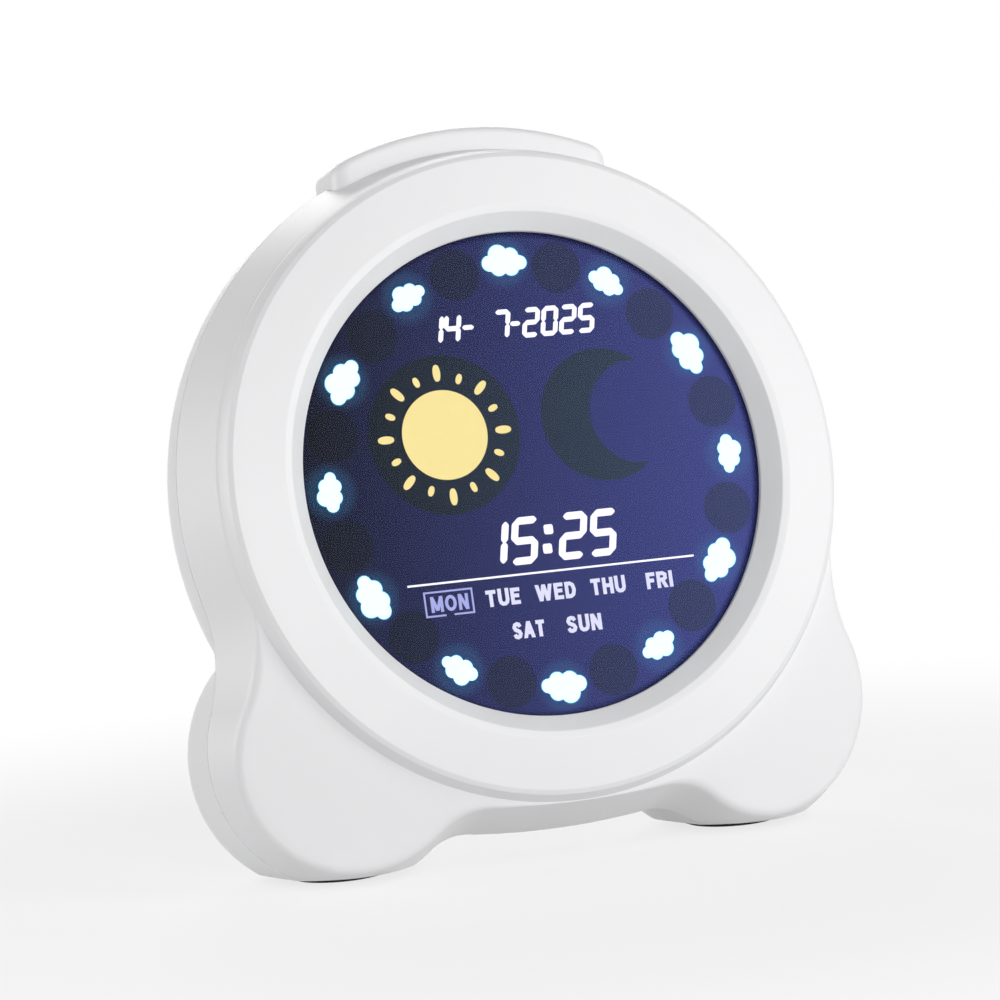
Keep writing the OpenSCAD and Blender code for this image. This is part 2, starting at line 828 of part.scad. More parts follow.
module key_board() color(board_green) stand() difference() {
    box(-key_board_half, key_board_half, key_board_y, key_floor,
        key_z - key_board_h / 2, key_z + key_board_h / 2);
    both() cyl_y(key_post, small_screw_r + 0.2, key_board_y - cut, key_floor + cut);
}

module key_switches() color(dark_plastic) stand() for (i = [0 : 5]) difference() {
    box(key_x(i) - tact / 2, key_x(i) + tact / 2, key_floor, key_floor + tact_h,
        key_z - tact / 2, key_z + tact / 2);
    cyl_y([key_x(i), key_z], stem_r + stem_gap,
        key_floor + tact_h - stem_in - key_travel - stem_deep, key_floor + tact_h + cut);
}

module key_stem(i) color(brass_like) stand()
    cyl_y([key_x(i), key_z], stem_r, key_floor + tact_h - stem_in, key_stem_top);

module key_cap(i) color(white_plastic) stand() {
    cyl_y([key_x(i), key_z], key_r, back_in - key_lip_t, case_depth + key_proud - 0.4);
    cyl_y([key_x(i), key_z], key_r - 0.4, back_in - key_lip_t, case_depth + key_proud);
    cyl_y([key_x(i), key_z], key_r + key_lip, back_in - key_lip_t, back_in);
}

module key_1() key_cap(0);
module key_2() key_cap(1);
module key_3() key_cap(2);
module key_4() key_cap(3);
module key_5() key_cap(4);
module key_6() key_cap(5);
module key_stem_1() key_stem(0);
module key_stem_2() key_stem(1);
module key_stem_3() key_stem(2);
module key_stem_4() key_stem(3);
module key_stem_5() key_stem(4);
module key_stem_6() key_stem(5);

module key_board_screws() color(steel) stand() both() {
    cyl_y(key_post, small_screw_r, key_board_y - eps, key_board_y + small_screw_long - 1.3);
    cyl_y(key_post, head_r, key_board_y - head_t, key_board_y);
}

// Slide switch

module slide_switch() color(dark_plastic) stand() {
    translate([knob_c[0], 0, knob_c[1]]) difference() {
        box(-switch_half, switch_half, back_in - 4.7, back_in, -switch_half / 2, switch_half / 2);
        box(-knob_travel / 2 - knob_pin - 0.3, knob_travel / 2 + knob_pin + 0.3,
            back_in - 2.3, back_in + 1, -knob_pin, knob_pin);
    }
}

module slide_knob() color(dark_plastic) stand() {
    x = knob_c[0] - knob_travel / 2;
    z = knob_c[1];
    box(x - knob_half, x + knob_half, case_depth - 1.1, case_depth + 0.6, z - knob_h, z + knob_h);
    box(x - knob_pin, x + knob_pin, back_in - 2.1, case_depth - 1,
        z - knob_pin + 0.3, z + knob_pin - 0.3);
    for (k = [-1, 0, 1]) box(x + k * 1.4 - 0.3, x + k * 1.4 + 0.3,
        case_depth + 0.5, case_depth + 0.9, z - knob_h, z + knob_h);
}

// Battery bay

module battery_door() color(white_plastic) stand() {
    y0 = case_depth - door_t;
    difference() {
        union() {
            intersection() {
                along_y(y0, case_depth + 1) door_outline(0);
                spin([0, 0]) dome_drawing(0);
            }
            for (s = [-1, 1]) box(s * 19 - 4, s * 19 + 4, y0 - 0.6, y0 + eps,
                bay_high - 1.8, bay_high - 0.4);
        }
        cyl_y([0, door_ear_z], 2.6, case_depth - door_ear_seat, case_depth + 1);
        cyl_y([0, door_ear_z], small_screw_r + 0.2, y0 - 1, case_depth);
        for (i = [-2 : 2]) box(-7, 7, case_depth - 0.5, case_depth + 1, i * 2 - 4, i * 2 - 3.2);
    }
}

module door_screw() color(steel) stand()
    screw_y([0, door_ear_z], small_screw_r, bay_floor + 4.5, case_depth - door_ear_seat, 2.3, 1.1);

module cells() color(cell_blue) stand() for (i = [0 : 2]) {
    way = i == 1 ? -1 : 1;
    r = cell_d / 2;
    body = cell_len - 1;
    translate([cell_minus(i), cell_y, cell_z(i)]) rotate([0, way * 90, 0]) {
        cylinder(h = body, r = r, $fn = small_fn);
        translate([0, 0, body]) cylinder(h = 1, r = nub_r, $fn = small_fn);
    }
}

// Place of the flat end of a cell; every second cell is turned round
function cell_minus(i) = (i == 1 ? -1 : 1) * (cell_shift - cell_len / 2);

// The cone that each wire contact fills when a cell presses on it
module contact_springs() color(steel) stand() for (i = [0 : 2]) {
    way = i == 1 ? -1 : 1;
    translate([cell_minus(i), cell_y, cell_z(i)]) rotate([0, -way * 90, 0]) difference() {
        cylinder(h = spring_len, r1 = nub_r + 0.3, r2 = cell_d / 2 - 1.25, $fn = small_fn);
        translate([0, 0, -cut]) cylinder(h = spring_len + 2 * cut, r1 = nub_r - 0.4,
            r2 = cell_d / 2 - 1.95, $fn = small_fn);
    }
}

module contact_plates() color(steel) stand() for (p = plates) {
    x = p[0] * (bay_half - plate_t / 2);
    half = cell_d / 2 - plate_in;
    box(x - plate_t / 2, x + plate_t / 2, cell_y - half + 0.5, cell_y + half - 0.5,
        cell_z(p[1]) - half, cell_z(p[2]) + half);
}

// Power socket

module socket_drawing(r) {
    translate(socket_c) {
        for (s = [-1, 1]) translate([0, s * (socket_half - socket_r)]) circle(r, $fn = small_fn);
        translate([-r, -socket_half + socket_r]) square([2 * r, 2 * (socket_half - socket_r)]);
    }
}

module power_socket() color(steel) stand() {
    difference() {
        along_y(socket_y, case_depth - 0.3) socket_drawing(socket_r);
        along_y(socket_y + 1.2, case_depth + 1) socket_drawing(socket_r - 0.3);
    }
    translate([socket_c[0], 0, socket_c[1]])
        box(-0.35, 0.35, socket_y + 0.7, case_depth - 1.2, -3, 3);
}

module socket_board() color(board_green) stand() translate([socket_c[0], 0, socket_c[1]])
    box(-4, 4, socket_y - 1.2, socket_y, -socket_half - 4, socket_half + 4);

// Fixings and pads

module case_screws() color(steel) stand() {
    both() screw_y(top_screw, case_screw_r, seat_y - screw_long, seat_y, case_head_r, case_head_t);
    both() screw_y(foot_screw, case_screw_r, seat_y - screw_long + 1, seat_y, case_head_r, case_head_t);
}

module pad_shape(gap) {
    len = pad_len - 2 * pad_half;
    both() rotate([lean, 0, 0]) translate([foot_x, 0, -sole_down - pad_proud]) {
        y0 = pad_y * cos(lean) - (sole_z - 3) * sin(lean);
        for (y = [0, len]) translate([0, y0 + y - len / 2, 0])
            cylinder(h = pad_t, r = pad_half + gap, $fn = small_fn);
        translate([-pad_half - gap, y0 - len / 2, 0]) cube([2 * (pad_half + gap), len, pad_t]);
    }
}

module foot_pads() color(grey_rubber) stand() pad_shape(0);

front_case();
rear_cover();
display_window();
lcd_panel();
diffuser();
light_guide();
lamp_strips();
display_frame();
main_board();
board_parts();
connector_strip();
board_screws();
bar_button();
bar_stems();
bar_cradle();
bar_board();
bar_switches();
cradle_screws();
speaker();
key_board();
key_switches();
key_1();
key_2();
key_3();
key_4();
key_5();
key_6();
key_stem_1();
key_stem_2();
key_stem_3();
key_stem_4();
key_stem_5();
key_stem_6();
key_board_screws();
slide_switch();
slide_knob();
battery_door();
door_screw();
cells();
contact_springs();
contact_plates();
power_socket();
socket_board();
case_screws();
foot_pads();
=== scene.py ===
"""Looks of a round day clock: satin white case, lit calendar display, bar button and rear keys."""
import math

import bmesh
import bpy
import numpy as np
from mathutils import Euler, Matrix, Vector

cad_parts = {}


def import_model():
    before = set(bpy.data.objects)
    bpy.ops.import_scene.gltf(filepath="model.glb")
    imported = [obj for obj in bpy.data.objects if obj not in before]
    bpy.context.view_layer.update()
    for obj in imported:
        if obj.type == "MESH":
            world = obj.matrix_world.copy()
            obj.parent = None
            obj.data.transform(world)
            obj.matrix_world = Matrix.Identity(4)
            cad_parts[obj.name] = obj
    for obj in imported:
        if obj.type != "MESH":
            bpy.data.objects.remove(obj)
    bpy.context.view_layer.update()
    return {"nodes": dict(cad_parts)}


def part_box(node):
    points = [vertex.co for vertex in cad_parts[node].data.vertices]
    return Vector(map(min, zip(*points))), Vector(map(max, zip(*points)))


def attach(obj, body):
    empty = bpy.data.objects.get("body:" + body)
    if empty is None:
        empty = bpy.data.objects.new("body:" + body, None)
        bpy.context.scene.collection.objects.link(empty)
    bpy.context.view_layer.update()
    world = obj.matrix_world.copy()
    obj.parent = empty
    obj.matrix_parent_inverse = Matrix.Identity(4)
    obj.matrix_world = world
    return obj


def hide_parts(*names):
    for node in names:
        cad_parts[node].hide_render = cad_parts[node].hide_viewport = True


bl_info = {
    "name": "Day clock",
    "version": (1, 0, 0),
    "blender": (4, 5, 0),
    "location": "View3D > Sidebar > Day clock",
    "description": "Dresses the clock's solids with its case, display, button and keys",
    "category": "Object",
}

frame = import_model()

MM = 0.001
LEAN = math.radians(10)
TILT = Matrix.Rotation(-LEAN, 3, "X")
# Lengths are in mm, in the face frame: x to the right, y into the clock, z up the face.
DEFAULTS = {
    "ring_radius": 60.0, "opening_radius": 45.5, "window_depth": 4.4, "seam_depth": 18.8,
    "flare": 0.30, "foot_x": 40.4, "foot_drop": 46.0, "foot_radius": 20.3, "neck_radius": 37.8,
    "belly_radius": 16.0, "belly_big_radius": 150.0, "belly_drop": 60.6, "foot_fillet": 2.4,
    "bar_length": 56.0, "bar_top": 68.3, "bar_front": 13.5, "bar_depth": 15.0, "bar_fillet": 1.7,
    "key_radius": 3.6, "key_pitch": 12.0, "key_height": 12.0, "case_depth": 45.5,
    "key_proud": 1.2, "hour_ring": 40.2, "hour_mark": 8.7,
}
WINDOW_THICK = 1.5
WALL = 2.2
# Heights over the table of the feet's flat soles, where the pads begin, and of the inside
SOLE_Z = 1.6
INSIDE_Z = SOLE_Z + WALL
# Depth of the display's front, on which the lit marks stand, and the marks' thicknesses
ART_Y = 5.9
MARK, THIN_MARK = 0.03, 0.012
# Plan of the bar button and its slot: corner radius, steps in a corner and along a side
CORNER, CORNER_PARTS, SIDE_PARTS = 3.5, 8, 14
# Points nearer than this are one point, in metres
WELD = 2e-6
NODE_STEP = 250


def lean_frame():
    """Place of the display centre at the ring's lip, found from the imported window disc."""
    lo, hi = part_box("display_window")
    middle = (lo + hi) / 2 / MM
    depth = DEFAULTS["window_depth"] + WINDOW_THICK / 2
    return Vector((0, middle.y - depth * math.cos(LEAN), middle.z + depth * math.sin(LEAN)))


ORIGIN = lean_frame()


def world(x, y, z):
    """A point of the leaning face frame, in mm, as a point of the row frame, in metres."""
    return (TILT @ Vector((x, y, z)) + ORIGIN) * MM


# Settings

def length(key, text):
    return bpy.props.FloatProperty(name=text, default=DEFAULTS[key], min=0.1, max=200.0)


def hex_linear(text):
    """sRGB hex colour as linear red, green and blue."""
    values = [int(text[i:i + 2], 16) / 255 for i in (1, 3, 5)]
    return tuple(v / 12.92 if v <= 0.04045 else ((v + 0.055) / 1.055) ** 2.4 for v in values)


def colour(text, code):
    return bpy.props.FloatVectorProperty(name=text, subtype="COLOR", size=3, min=0, max=1,
                                         default=hex_linear(code))


class DayClockSizes(bpy.types.PropertyGroup):
    """Sizes in millimetres, in the face frame"""
    ring_radius: length("ring_radius", "Radius of the front ring, mm")
    opening_radius: length("opening_radius", "Radius of the display opening, mm")
    seam_depth: length("seam_depth", "Depth of the seam behind the lip, mm")
    foot_radius: length("foot_radius", "Radius of a foot at the front, mm")
    foot_fillet: length("foot_fillet", "Rounding of the feet's front edge, mm")
    bar_length: length("bar_length", "Length of the bar button, mm")
    bar_depth: length("bar_depth", "Depth of the bar button, mm")
    bar_fillet: length("bar_fillet", "Rounding of the bar button's top edge, mm")
    key_radius: length("key_radius", "Radius of a rear key, mm")
    hour_ring: length("hour_ring", "Radius of the ring of hour marks, mm")
    hour_mark: length("hour_mark", "Width of a big hour mark, mm")


class DayClockColours(bpy.types.PropertyGroup):
    """Colours of the clock's finishes"""
    case: colour("Satin white case", "#EDEDEE")
    keys: colour("Rear keys", "#DCDDDF")
    night_left: colour("Lit display at its left edge", "#14182A")
    night_right: colour("Lit display at its right edge", "#40478C")
    ghost: colour("Tint of the unlit marks on the display", "#E4FFB0")
    ghost_dots: colour("Tint of the unlit dots between the hour marks", "#E9EFC7")
    lit: colour("Figures and words on the display", "#F4F4FF")
    halo: colour("Blue halo of the hour marks", "#4FA3E0")
    sun: colour("Sun mark", "#FCE793")
    pad: colour("Rubber pads", "#1B1B1D")


def sizes():
    return bpy.context.scene.day_clock_sizes


def colours():
    return bpy.context.scene.day_clock_colours


# Nodes

def put(tree, node, inputs):
    """Sets or links inputs of a node, each given by its name or place."""
    for key, value in inputs.items():
        if isinstance(value, bpy.types.NodeSocket):
            tree.links.new(value, node.inputs[key])
        else:
            node.inputs[key].default_value = value


def add(tree, kind, inputs=None, **settings):
    """Adds one node beside the last one, with its settings, input values and links."""
    node = tree.nodes.new(kind)
    node.location = (NODE_STEP * len(tree.nodes), 0)
    for key, value in settings.items():
        setattr(node, key, value)
    put(tree, node, inputs or {})
    return node


def out(tree, kind, inputs=None, **settings):
    """Adds one node and gives its first output."""
    return add(tree, kind, inputs, **settings).outputs[0]


def maths(tree, kind, *values):
    return out(tree, "ShaderNodeMath", dict(enumerate(values)), operation=kind)


def distance(tree, x, z):
    """Distance from the origin of a point in a plane."""
    squares = [maths(tree, "MULTIPLY", axis, axis) for axis in (x, z)]
    return maths(tree, "SQRT", maths(tree, "ADD", *squares))


def ramp(tree, value, low, high, least=0.0, most=1.0, kind="LINEAR"):
    """Maps the range from low to high onto the range from least to most."""
    return out(tree, "ShaderNodeMapRange", {
        "Value": value, "From Min": low, "From Max": high, "To Min": least, "To Max": most},
        interpolation_type=kind)


def noise(tree, face, scale, detail, rough=0.5):
    return add(tree, "ShaderNodeTexNoise", {
        "Vector": face, "Scale": scale, "Detail": detail, "Roughness": rough}).outputs["Fac"]


def rgba(values):
    return (*values, 1.0)


def mix_colour(tree, fac, a, b, blend="MIX"):
    return add(tree, "ShaderNodeMix", {0: fac, 6: a, 7: b}, data_type="RGBA",
               blend_type=blend).outputs[2]


def patchy(tree, fac, base, dark):
    """A colour that turns to a darker share of itself in patches."""
    return mix_colour(tree, fac, rgba(base), rgba([c * dark for c in base]))


def clear_tree(owner):
    """The emptied node tree of a material or a world."""
    owner.use_nodes = True
    owner.node_tree.nodes.clear()
    return owner.node_tree


def material(name):
    """A new node material with its Principled shader and face-frame millimetres."""
    made = bpy.data.materials.new(name)
    tree = clear_tree(made)
    shader = add(tree, "ShaderNodeBsdfPrincipled")
    add(tree, "ShaderNodeOutputMaterial", {"Surface": shader.outputs[0]})
    place = add(tree, "ShaderNodeTexCoord")
    face = out(tree, "ShaderNodeMapping", {
        "Vector": place.outputs["Object"], "Location": -(TILT.transposed() @ ORIGIN),
        "Rotation": Euler((LEAN, 0, 0)), "Scale": (1 / MM,) * 3})
    return made, tree, shader, face


def plastic(name, base, rough, grain, depth, shade=0.02, ior=1.53):
    """Moulded plastic: slow shade drift and a spark-eroded grain of the given size in mm."""
    made, tree, shader, face = material(name)
    pits = noise(tree, face, 1 / grain, 3.0, 0.6)
    bump = out(tree, "ShaderNodeBump", {"Strength": 1.0, "Distance": depth * MM, "Height": pits})
    put(tree, shader, {
        "Base Color": patchy(tree, noise(tree, face, 0.06, 2.0), base, 1 - shade),
        "Roughness": ramp(tree, pits, 0, 1, rough - 0.05, rough + 0.05),
        "Normal": bump, "IOR": ior})
    return made


def metal(name, base, rough, grain):
    """Plated steel: bright base, fine scratches stretched along one way."""
    made, tree, shader, face = material(name)
    streak = out(tree, "ShaderNodeMapping", {"Vector": face, "Scale": (1, 6, 1)})
    wear = noise(tree, streak, 1 / grain, 4.0)
    put(tree, shader, {
        "Metallic": 1.0, "Base Color": patchy(tree, wear, base, 0.8),
        "Roughness": ramp(tree, wear, 0, 1, rough - 0.08, rough + 0.08)})
    return made


def glowing(name, base, strength, shade=0.06):
    """Lit printed mark: glows evenly, a little weaker in slow patches."""
    made, tree, shader, face = material(name)
    put(tree, shader, {
        "Emission Color": patchy(tree, noise(tree, face, 0.35, 1.0), base, 1 - shade),
        "Emission Strength": strength, "Base Color": (0.02, 0.02, 0.025, 1), "Roughness": 0.5})
    return made


def screen(tree, shader, light, rough):
    """The display's surface: its own light on near-black glass that hardly mirrors."""
    put(tree, shader, {
        "Emission Color": light, "Emission Strength": 0.95, "Roughness": rough,
        "Base Color": rgba(hex_linear("#0C0D13")), "Specular IOR Level": 0.03})


def night_colour(tree, face):
    """The lit display's navy, bluer to the right and duller to the top, and the axes x and z."""
    x, _, z = add(tree, "ShaderNodeSeparateXYZ", {0: face}).outputs
    across = maths(tree, "SUBTRACT", x, maths(tree, "MULTIPLY", z, 0.12))
    return mix_colour(tree, ramp(tree, across, -44.0, 44.0), rgba(colours().night_left),
                      rgba(colours().night_right)), x, z


def display_glass(name):
    """Backlit display glass: navy, with a soft halo at each hour, and darker in a band at its rim.
    """
    made, tree, shader, face = material(name)
    night, x, z = night_colour(tree, face)
    step, reach, open_r = math.tau / 12, sizes().hour_ring, sizes().opening_radius
    turn = maths(tree, "DIVIDE", maths(tree, "ARCTAN2", x, z), step)
    hour = maths(tree, "MULTIPLY", maths(tree, "ROUND", turn), step)
    off = [maths(tree, "SUBTRACT", axis, maths(tree, "MULTIPLY", maths(tree, kind, hour), reach))
           for axis, kind in ((x, "SINE"), (z, "COSINE"))]
    halo = ramp(tree, distance(tree, *off), 6.0, 3.4, 0.0, 0.1, "SMOOTHSTEP")
    border = ramp(tree, distance(tree, x, z), open_r - 1.4, open_r + 0.3, 0.0, 0.92, "SMOOTHSTEP")
    lit = mix_colour(tree, halo, night, rgba(colours().halo))
    screen(tree, shader, mix_colour(tree, border, lit, rgba(hex_linear("#0A0C30"))), 0.3)
    return made


def unlit(name, tint):
    """A mark that is switched off: the display's own colour, greyer and a little darker."""
    made, tree, shader, face = material(name)
    night, _, _ = night_colour(tree, face)
    screen(tree, shader, mix_colour(tree, 1.0, night, rgba(tint), "MULTIPLY"), 0.4)
    return made


def clear_sheet(name, tint, rough, gloss=1.0):
    """Cast acrylic sheet: clear, polished, index 1.49; gloss is the share of light it reflects."""
    made, tree, shader, face = material(name)
    put(tree, shader, {
        "Base Color": rgba(tint), "Transmission Weight": 1.0, "IOR": 1.49,
        "Roughness": ramp(tree, noise(tree, face, 0.2, 2.0), 0, 1, rough, rough + 0.015),
        "Specular IOR Level": 0.5 * gloss, "Specular Tint": (gloss, gloss, gloss, 1)})
    return made


def board(name):
    """Glass-fibre board: green lacquer over darker copper lanes about 1 mm wide."""
    made, tree, shader, face = material(name)
    lanes = out(tree, "ShaderNodeTexBrick", {
        "Vector": face, "Scale": 0.28, "Mortar Size": 0.08,
        "Color1": rgba(hex_linear("#1C5A34")), "Color2": rgba(hex_linear("#1F6439")),
        "Mortar": rgba(hex_linear("#123F24"))})
    put(tree, shader, {"Base Color": lanes, "Roughness": 0.35})
    return made


# Each finish: its maker, its colour (hex, values or the name of a setting) and the maker's values
FINISHES = {
    # Moulded ABS with a fine spark-eroded grain, 0.3 mm, drawn at 0.5 mm so that it shows
    "abs_satin_white": (plastic, "case", 0.42, 0.5, 0.012),
    # The same ABS, polished a little more where fingers press
    "abs_key_white": (plastic, "keys", 0.34, 0.5, 0.006),
    # Glass-filled black plastic of switches and chips
    "moulded_black": (plastic, "#1A1A1C", 0.5, 0.6, 0.02, 0.2),
    # Natural acetal of the switch stems
    "acetal_tan": (plastic, "#B5986A", 0.4, 0.6, 0.01, 0.1),
    # Silicone rubber, matt, with a dusty bloom
    "silicone_rubber": (plastic, "pad", 0.75, 0.8, 0.03, 0.3, 1.45),
    # Milky diffuser film
    "diffuser_film": (plastic, "#E6E6E6", 0.5, 1.0, 0.004),
    # Printed shrink sleeve of a cell
    "cell_sleeve": (plastic, "#2C4F86", 0.25, 2.0, 0.01, 0.25),
    # Grey pad-printed ink
    "printed_grey": (plastic, "#77797E", 0.6, 0.4, 0.002, 0.1),
    # Zinc-plated screw steel, dull bright
    "zinc_plated_steel": (metal, "#B9BBC0", 0.34, 0.4),
    # Nickel-plated spring steel, brighter
    "nickel_plated_steel": (metal, "#C6C4BE", 0.24, 0.5),
    # Lacquered glass-fibre board
    "circuit_board": (board,),
    # Its anti-reflection coat leaves about a tenth of what bare acrylic reflects
    "clear_acrylic": (clear_sheet, (0.99, 0.99, 1.0), 0.0, 0.1),
    # Light guide, a little hazy
    "guide_acrylic": (clear_sheet, (0.9, 0.95, 0.98), 0.08),
    # Liquid crystal glass with its light on
    "lit_display_glass": (display_glass,),
    # Clear segments, lit white
    "lit_figures": (glowing, "lit", 1.12, 0.02),
    # Lit through cold white film: its light on the funnel is cyan
    "lit_clouds": (glowing, "#B4FAFF", 2.0, 0.04),
    # Light that spreads past the clouds' edges in the glass
    "cloud_glow": (glowing, "halo", 1.0),
    # Yellow film over a lit segment
    "lit_sun": (glowing, "sun", 0.95),
    # Lilac film over a lit segment
    "lit_box": (glowing, "#A9AEEE", 0.9),
    "lit_words": (glowing, "#E4E4FF", 0.95),
    # Segments with no current
    "unlit_marks": (unlit, "ghost"),
    "unlit_dots": (unlit, "ghost_dots"),
}
MATERIALS = {}


def finish(name):
    """The named finish, made once."""
    if name not in MATERIALS:
        maker, *values = FINISHES[name]
        if values and isinstance(values[0], str):
            code = values[0]
            values[0] = hex_linear(code) if code[0] == "#" else getattr(colours(), code)
        MATERIALS[name] = maker(name, *values)
    return MATERIALS[name]


# Meshes

def mesh_of(name, verts, faces):
    mesh = bpy.data.meshes.new(name)
    mesh.from_pydata([tuple(v) for v in verts], [], faces)
    return mesh


def link(name, data):
    made = bpy.data.objects.new(name, data)
    bpy.context.scene.collection.objects.link(made)
    return made


def smooth(mesh, angle):
    """Smooth shading with sharp edges where faces turn by more than the angle in degrees."""
    mesh.shade_smooth()
    mesh.set_sharp_from_angle(angle=math.radians(angle))


def keep_mesh(name, mesh, finish_name, body, replaced=(), angle=None):
    """Dresses a mesh and ties it to its body; without an angle it stays flat-shaded."""
    if not len(mesh.polygons):
        raise RuntimeError(name + " has no faces")
    mesh.name = name
    made = link(name, mesh)
    mesh.materials.clear()
    mesh.materials.append(finish(finish_name))
    if angle:
        smooth(mesh, angle)
    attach(made, body)
    if replaced:
        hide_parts(*replaced)
    return made


def fix_normals(mesh, change=None):
    """Edits a mesh by the given change and turns its faces outward."""
    edit = bmesh.new()
    edit.from_mesh(mesh)
    if change:
        change(edit)
    bmesh.ops.recalc_face_normals(edit, faces=edit.faces)
    edit.to_mesh(mesh)
    edit.free()


def weld_points(edit):
    bmesh.ops.remove_doubles(edit, verts=edit.verts, dist=WELD)


def keep(name, drawn, finish_name, body, replaced=(), angle=None,
         change=weld_points):
    """Makes a piece of points in metres and faces, and turns its faces outward."""
    mesh = mesh_of(name, *drawn)
    mesh.validate()
    made = keep_mesh(name, mesh, finish_name, body, replaced, angle)
    fix_normals(mesh, change)
    return made


def loft(rings, closed=False, caps=False):
    """Faces between closed rings of equal length, and over the end rings with caps."""
    count = len(rings[0])
    verts = [p for ring in rings for p in ring]
    faces = []
    for j in range(len(rings) if closed else len(rings) - 1):
        a, b = j * count, ((j + 1) % len(rings)) * count
        for i in range(count):
            k = (i + 1) % count
            faces.append((a + i, a + k, b + k, b + i))
    if caps:
        faces.append(tuple(range(count - 1, -1, -1)))
        faces.append(tuple(range(len(verts) - count, len(verts))))
    return verts, faces


def join_parts(parts):
    verts, faces = [], []
    for v, f in parts:
        base = len(verts)
        verts += list(v)
        faces += [tuple(i + base for i in face) for face in f]
    return verts, faces


def unit(v):
    return v / np.linalg.norm(v)


def across(v):
    """A flat vector turned a quarter to the left."""
    return np.array([-v[1], v[0]])


def arc(cx, cz, r, start, end, count, last=True):
    """Points along an arc, with or without its last one."""
    return [(cx + r * math.cos(t), cz + r * math.sin(t))
            for t in np.linspace(start, end, count, endpoint=last)]


def disc(cx, cz, r, count=64):
    return arc(cx, cz, r, 0, math.tau, count, False)


def rod(x, y, z0, z1, radius):
    """An upright round post."""
    return loft([[world(u, v, z) for u, v in disc(x, y, radius, 20)] for z in (z0, z1)], caps=True)


def lathe_y(cx, cz, path, count=40):
    """Turns a drawing of radius and depth about the line through cx, cz along the depth."""
    return loft([[world(x, y, z) for x, z in disc(cx, cz, r, count)] for r, y in path], caps=True)


def slab(shape, y, thick, place=world):
    """A thin closed solid over a drawing in x and z, with its back at depth y."""
    return loft([[place(x, depth, z) for x, z in shape] for depth in (y - thick, y)], caps=True)


def corner_angle(a, b):
    return math.acos(float(np.clip(a @ b, -1, 1)))


def bend(corner, a, b, r, parts):
    """Points on the arc that rounds a corner between two directions away from it."""
    half = corner_angle(a, b) / 2
    centre = corner + unit(a + b) * (r / math.sin(half))
    start, end = [corner + way * (r / math.tan(half)) - centre for way in (a, b)]
    sweep = math.pi - 2 * half
    return [centre + (math.sin((1 - t) * sweep) * start + math.sin(t * sweep) * end)
            / math.sin(sweep) for t in np.linspace(0, 1, parts + 1)]


def rounded(points, radii, parts):
    """A drawing with its corners rounded; radii gives each corner's radius."""
    corners = [np.array(p, float) for p in points]
    drawn = []
    for i, (p, r) in enumerate(zip(corners, radii)):
        if r > 0:
            drawn += bend(p, unit(corners[i - 1] - p), unit(corners[i + 1] - p), r, parts)
        else:
            drawn.append(p)
    return drawn


def touch(a, ra, b, rb, r, side):
    """Centre of the circle of radius r that touches two circles from outside."""
    a, b = np.array(a, float), np.array(b, float)
    d = np.linalg.norm(b - a)
    p, q = ra + r, rb + r
    u = (d * d + p * p - q * q) / (2 * d)
    v = side * math.sqrt(p * p - u * u)
    return a + (u * (b - a) + v * across(b - a)) / d


def arc_points(centre, radius, start, end, count, concave):
    """Points and outward normals on an arc, without its end point."""
    normals = [np.array(n) for n in arc(0, 0, 1, start, end, count, False)]
    return [(np.array(centre) + radius * n, -n if concave else n) for n in normals]


def case_outline():
    """Outline of ring, necks, feet and belly, from the top round by the right."""
    d, ring, foot_r = DEFAULTS, sizes().ring_radius, sizes().foot_radius
    neck_r, belly_r, big_r = d["neck_radius"], d["belly_radius"], d["belly_big_radius"]
    top, foot, big = (0, 0), (d["foot_x"], -d["foot_drop"]), (0, big_r - d["belly_drop"])
    neck = touch(top, ring, foot, foot_r, neck_r, 1)
    belly = touch(big, big_r, foot, foot_r, belly_r, -1)

    def angle(a, b):
        return math.atan2(b[1] - a[1], b[0] - a[0])

    half = arc_points(top, ring, math.pi / 2, angle(top, neck), 110, False)
    half += arc_points(neck, neck_r, angle(neck, top), angle(neck, foot) + math.tau, 16, True)
    half += arc_points(foot, foot_r, angle(foot, neck), angle(foot, belly), 60, False)
    half += arc_points(belly, belly_r, angle(belly, foot), angle(belly, big), 18, True)
    half += arc_points(big, big_r, angle(big, belly), -math.pi / 2, 14, False)
    flip = np.array([-1, 1])
    bottom = (np.array([0, -d["belly_drop"]]), np.array([0, -1.0]))
    return half + [bottom] + [(p * flip, n * flip) for p, n in reversed(half[1:])]


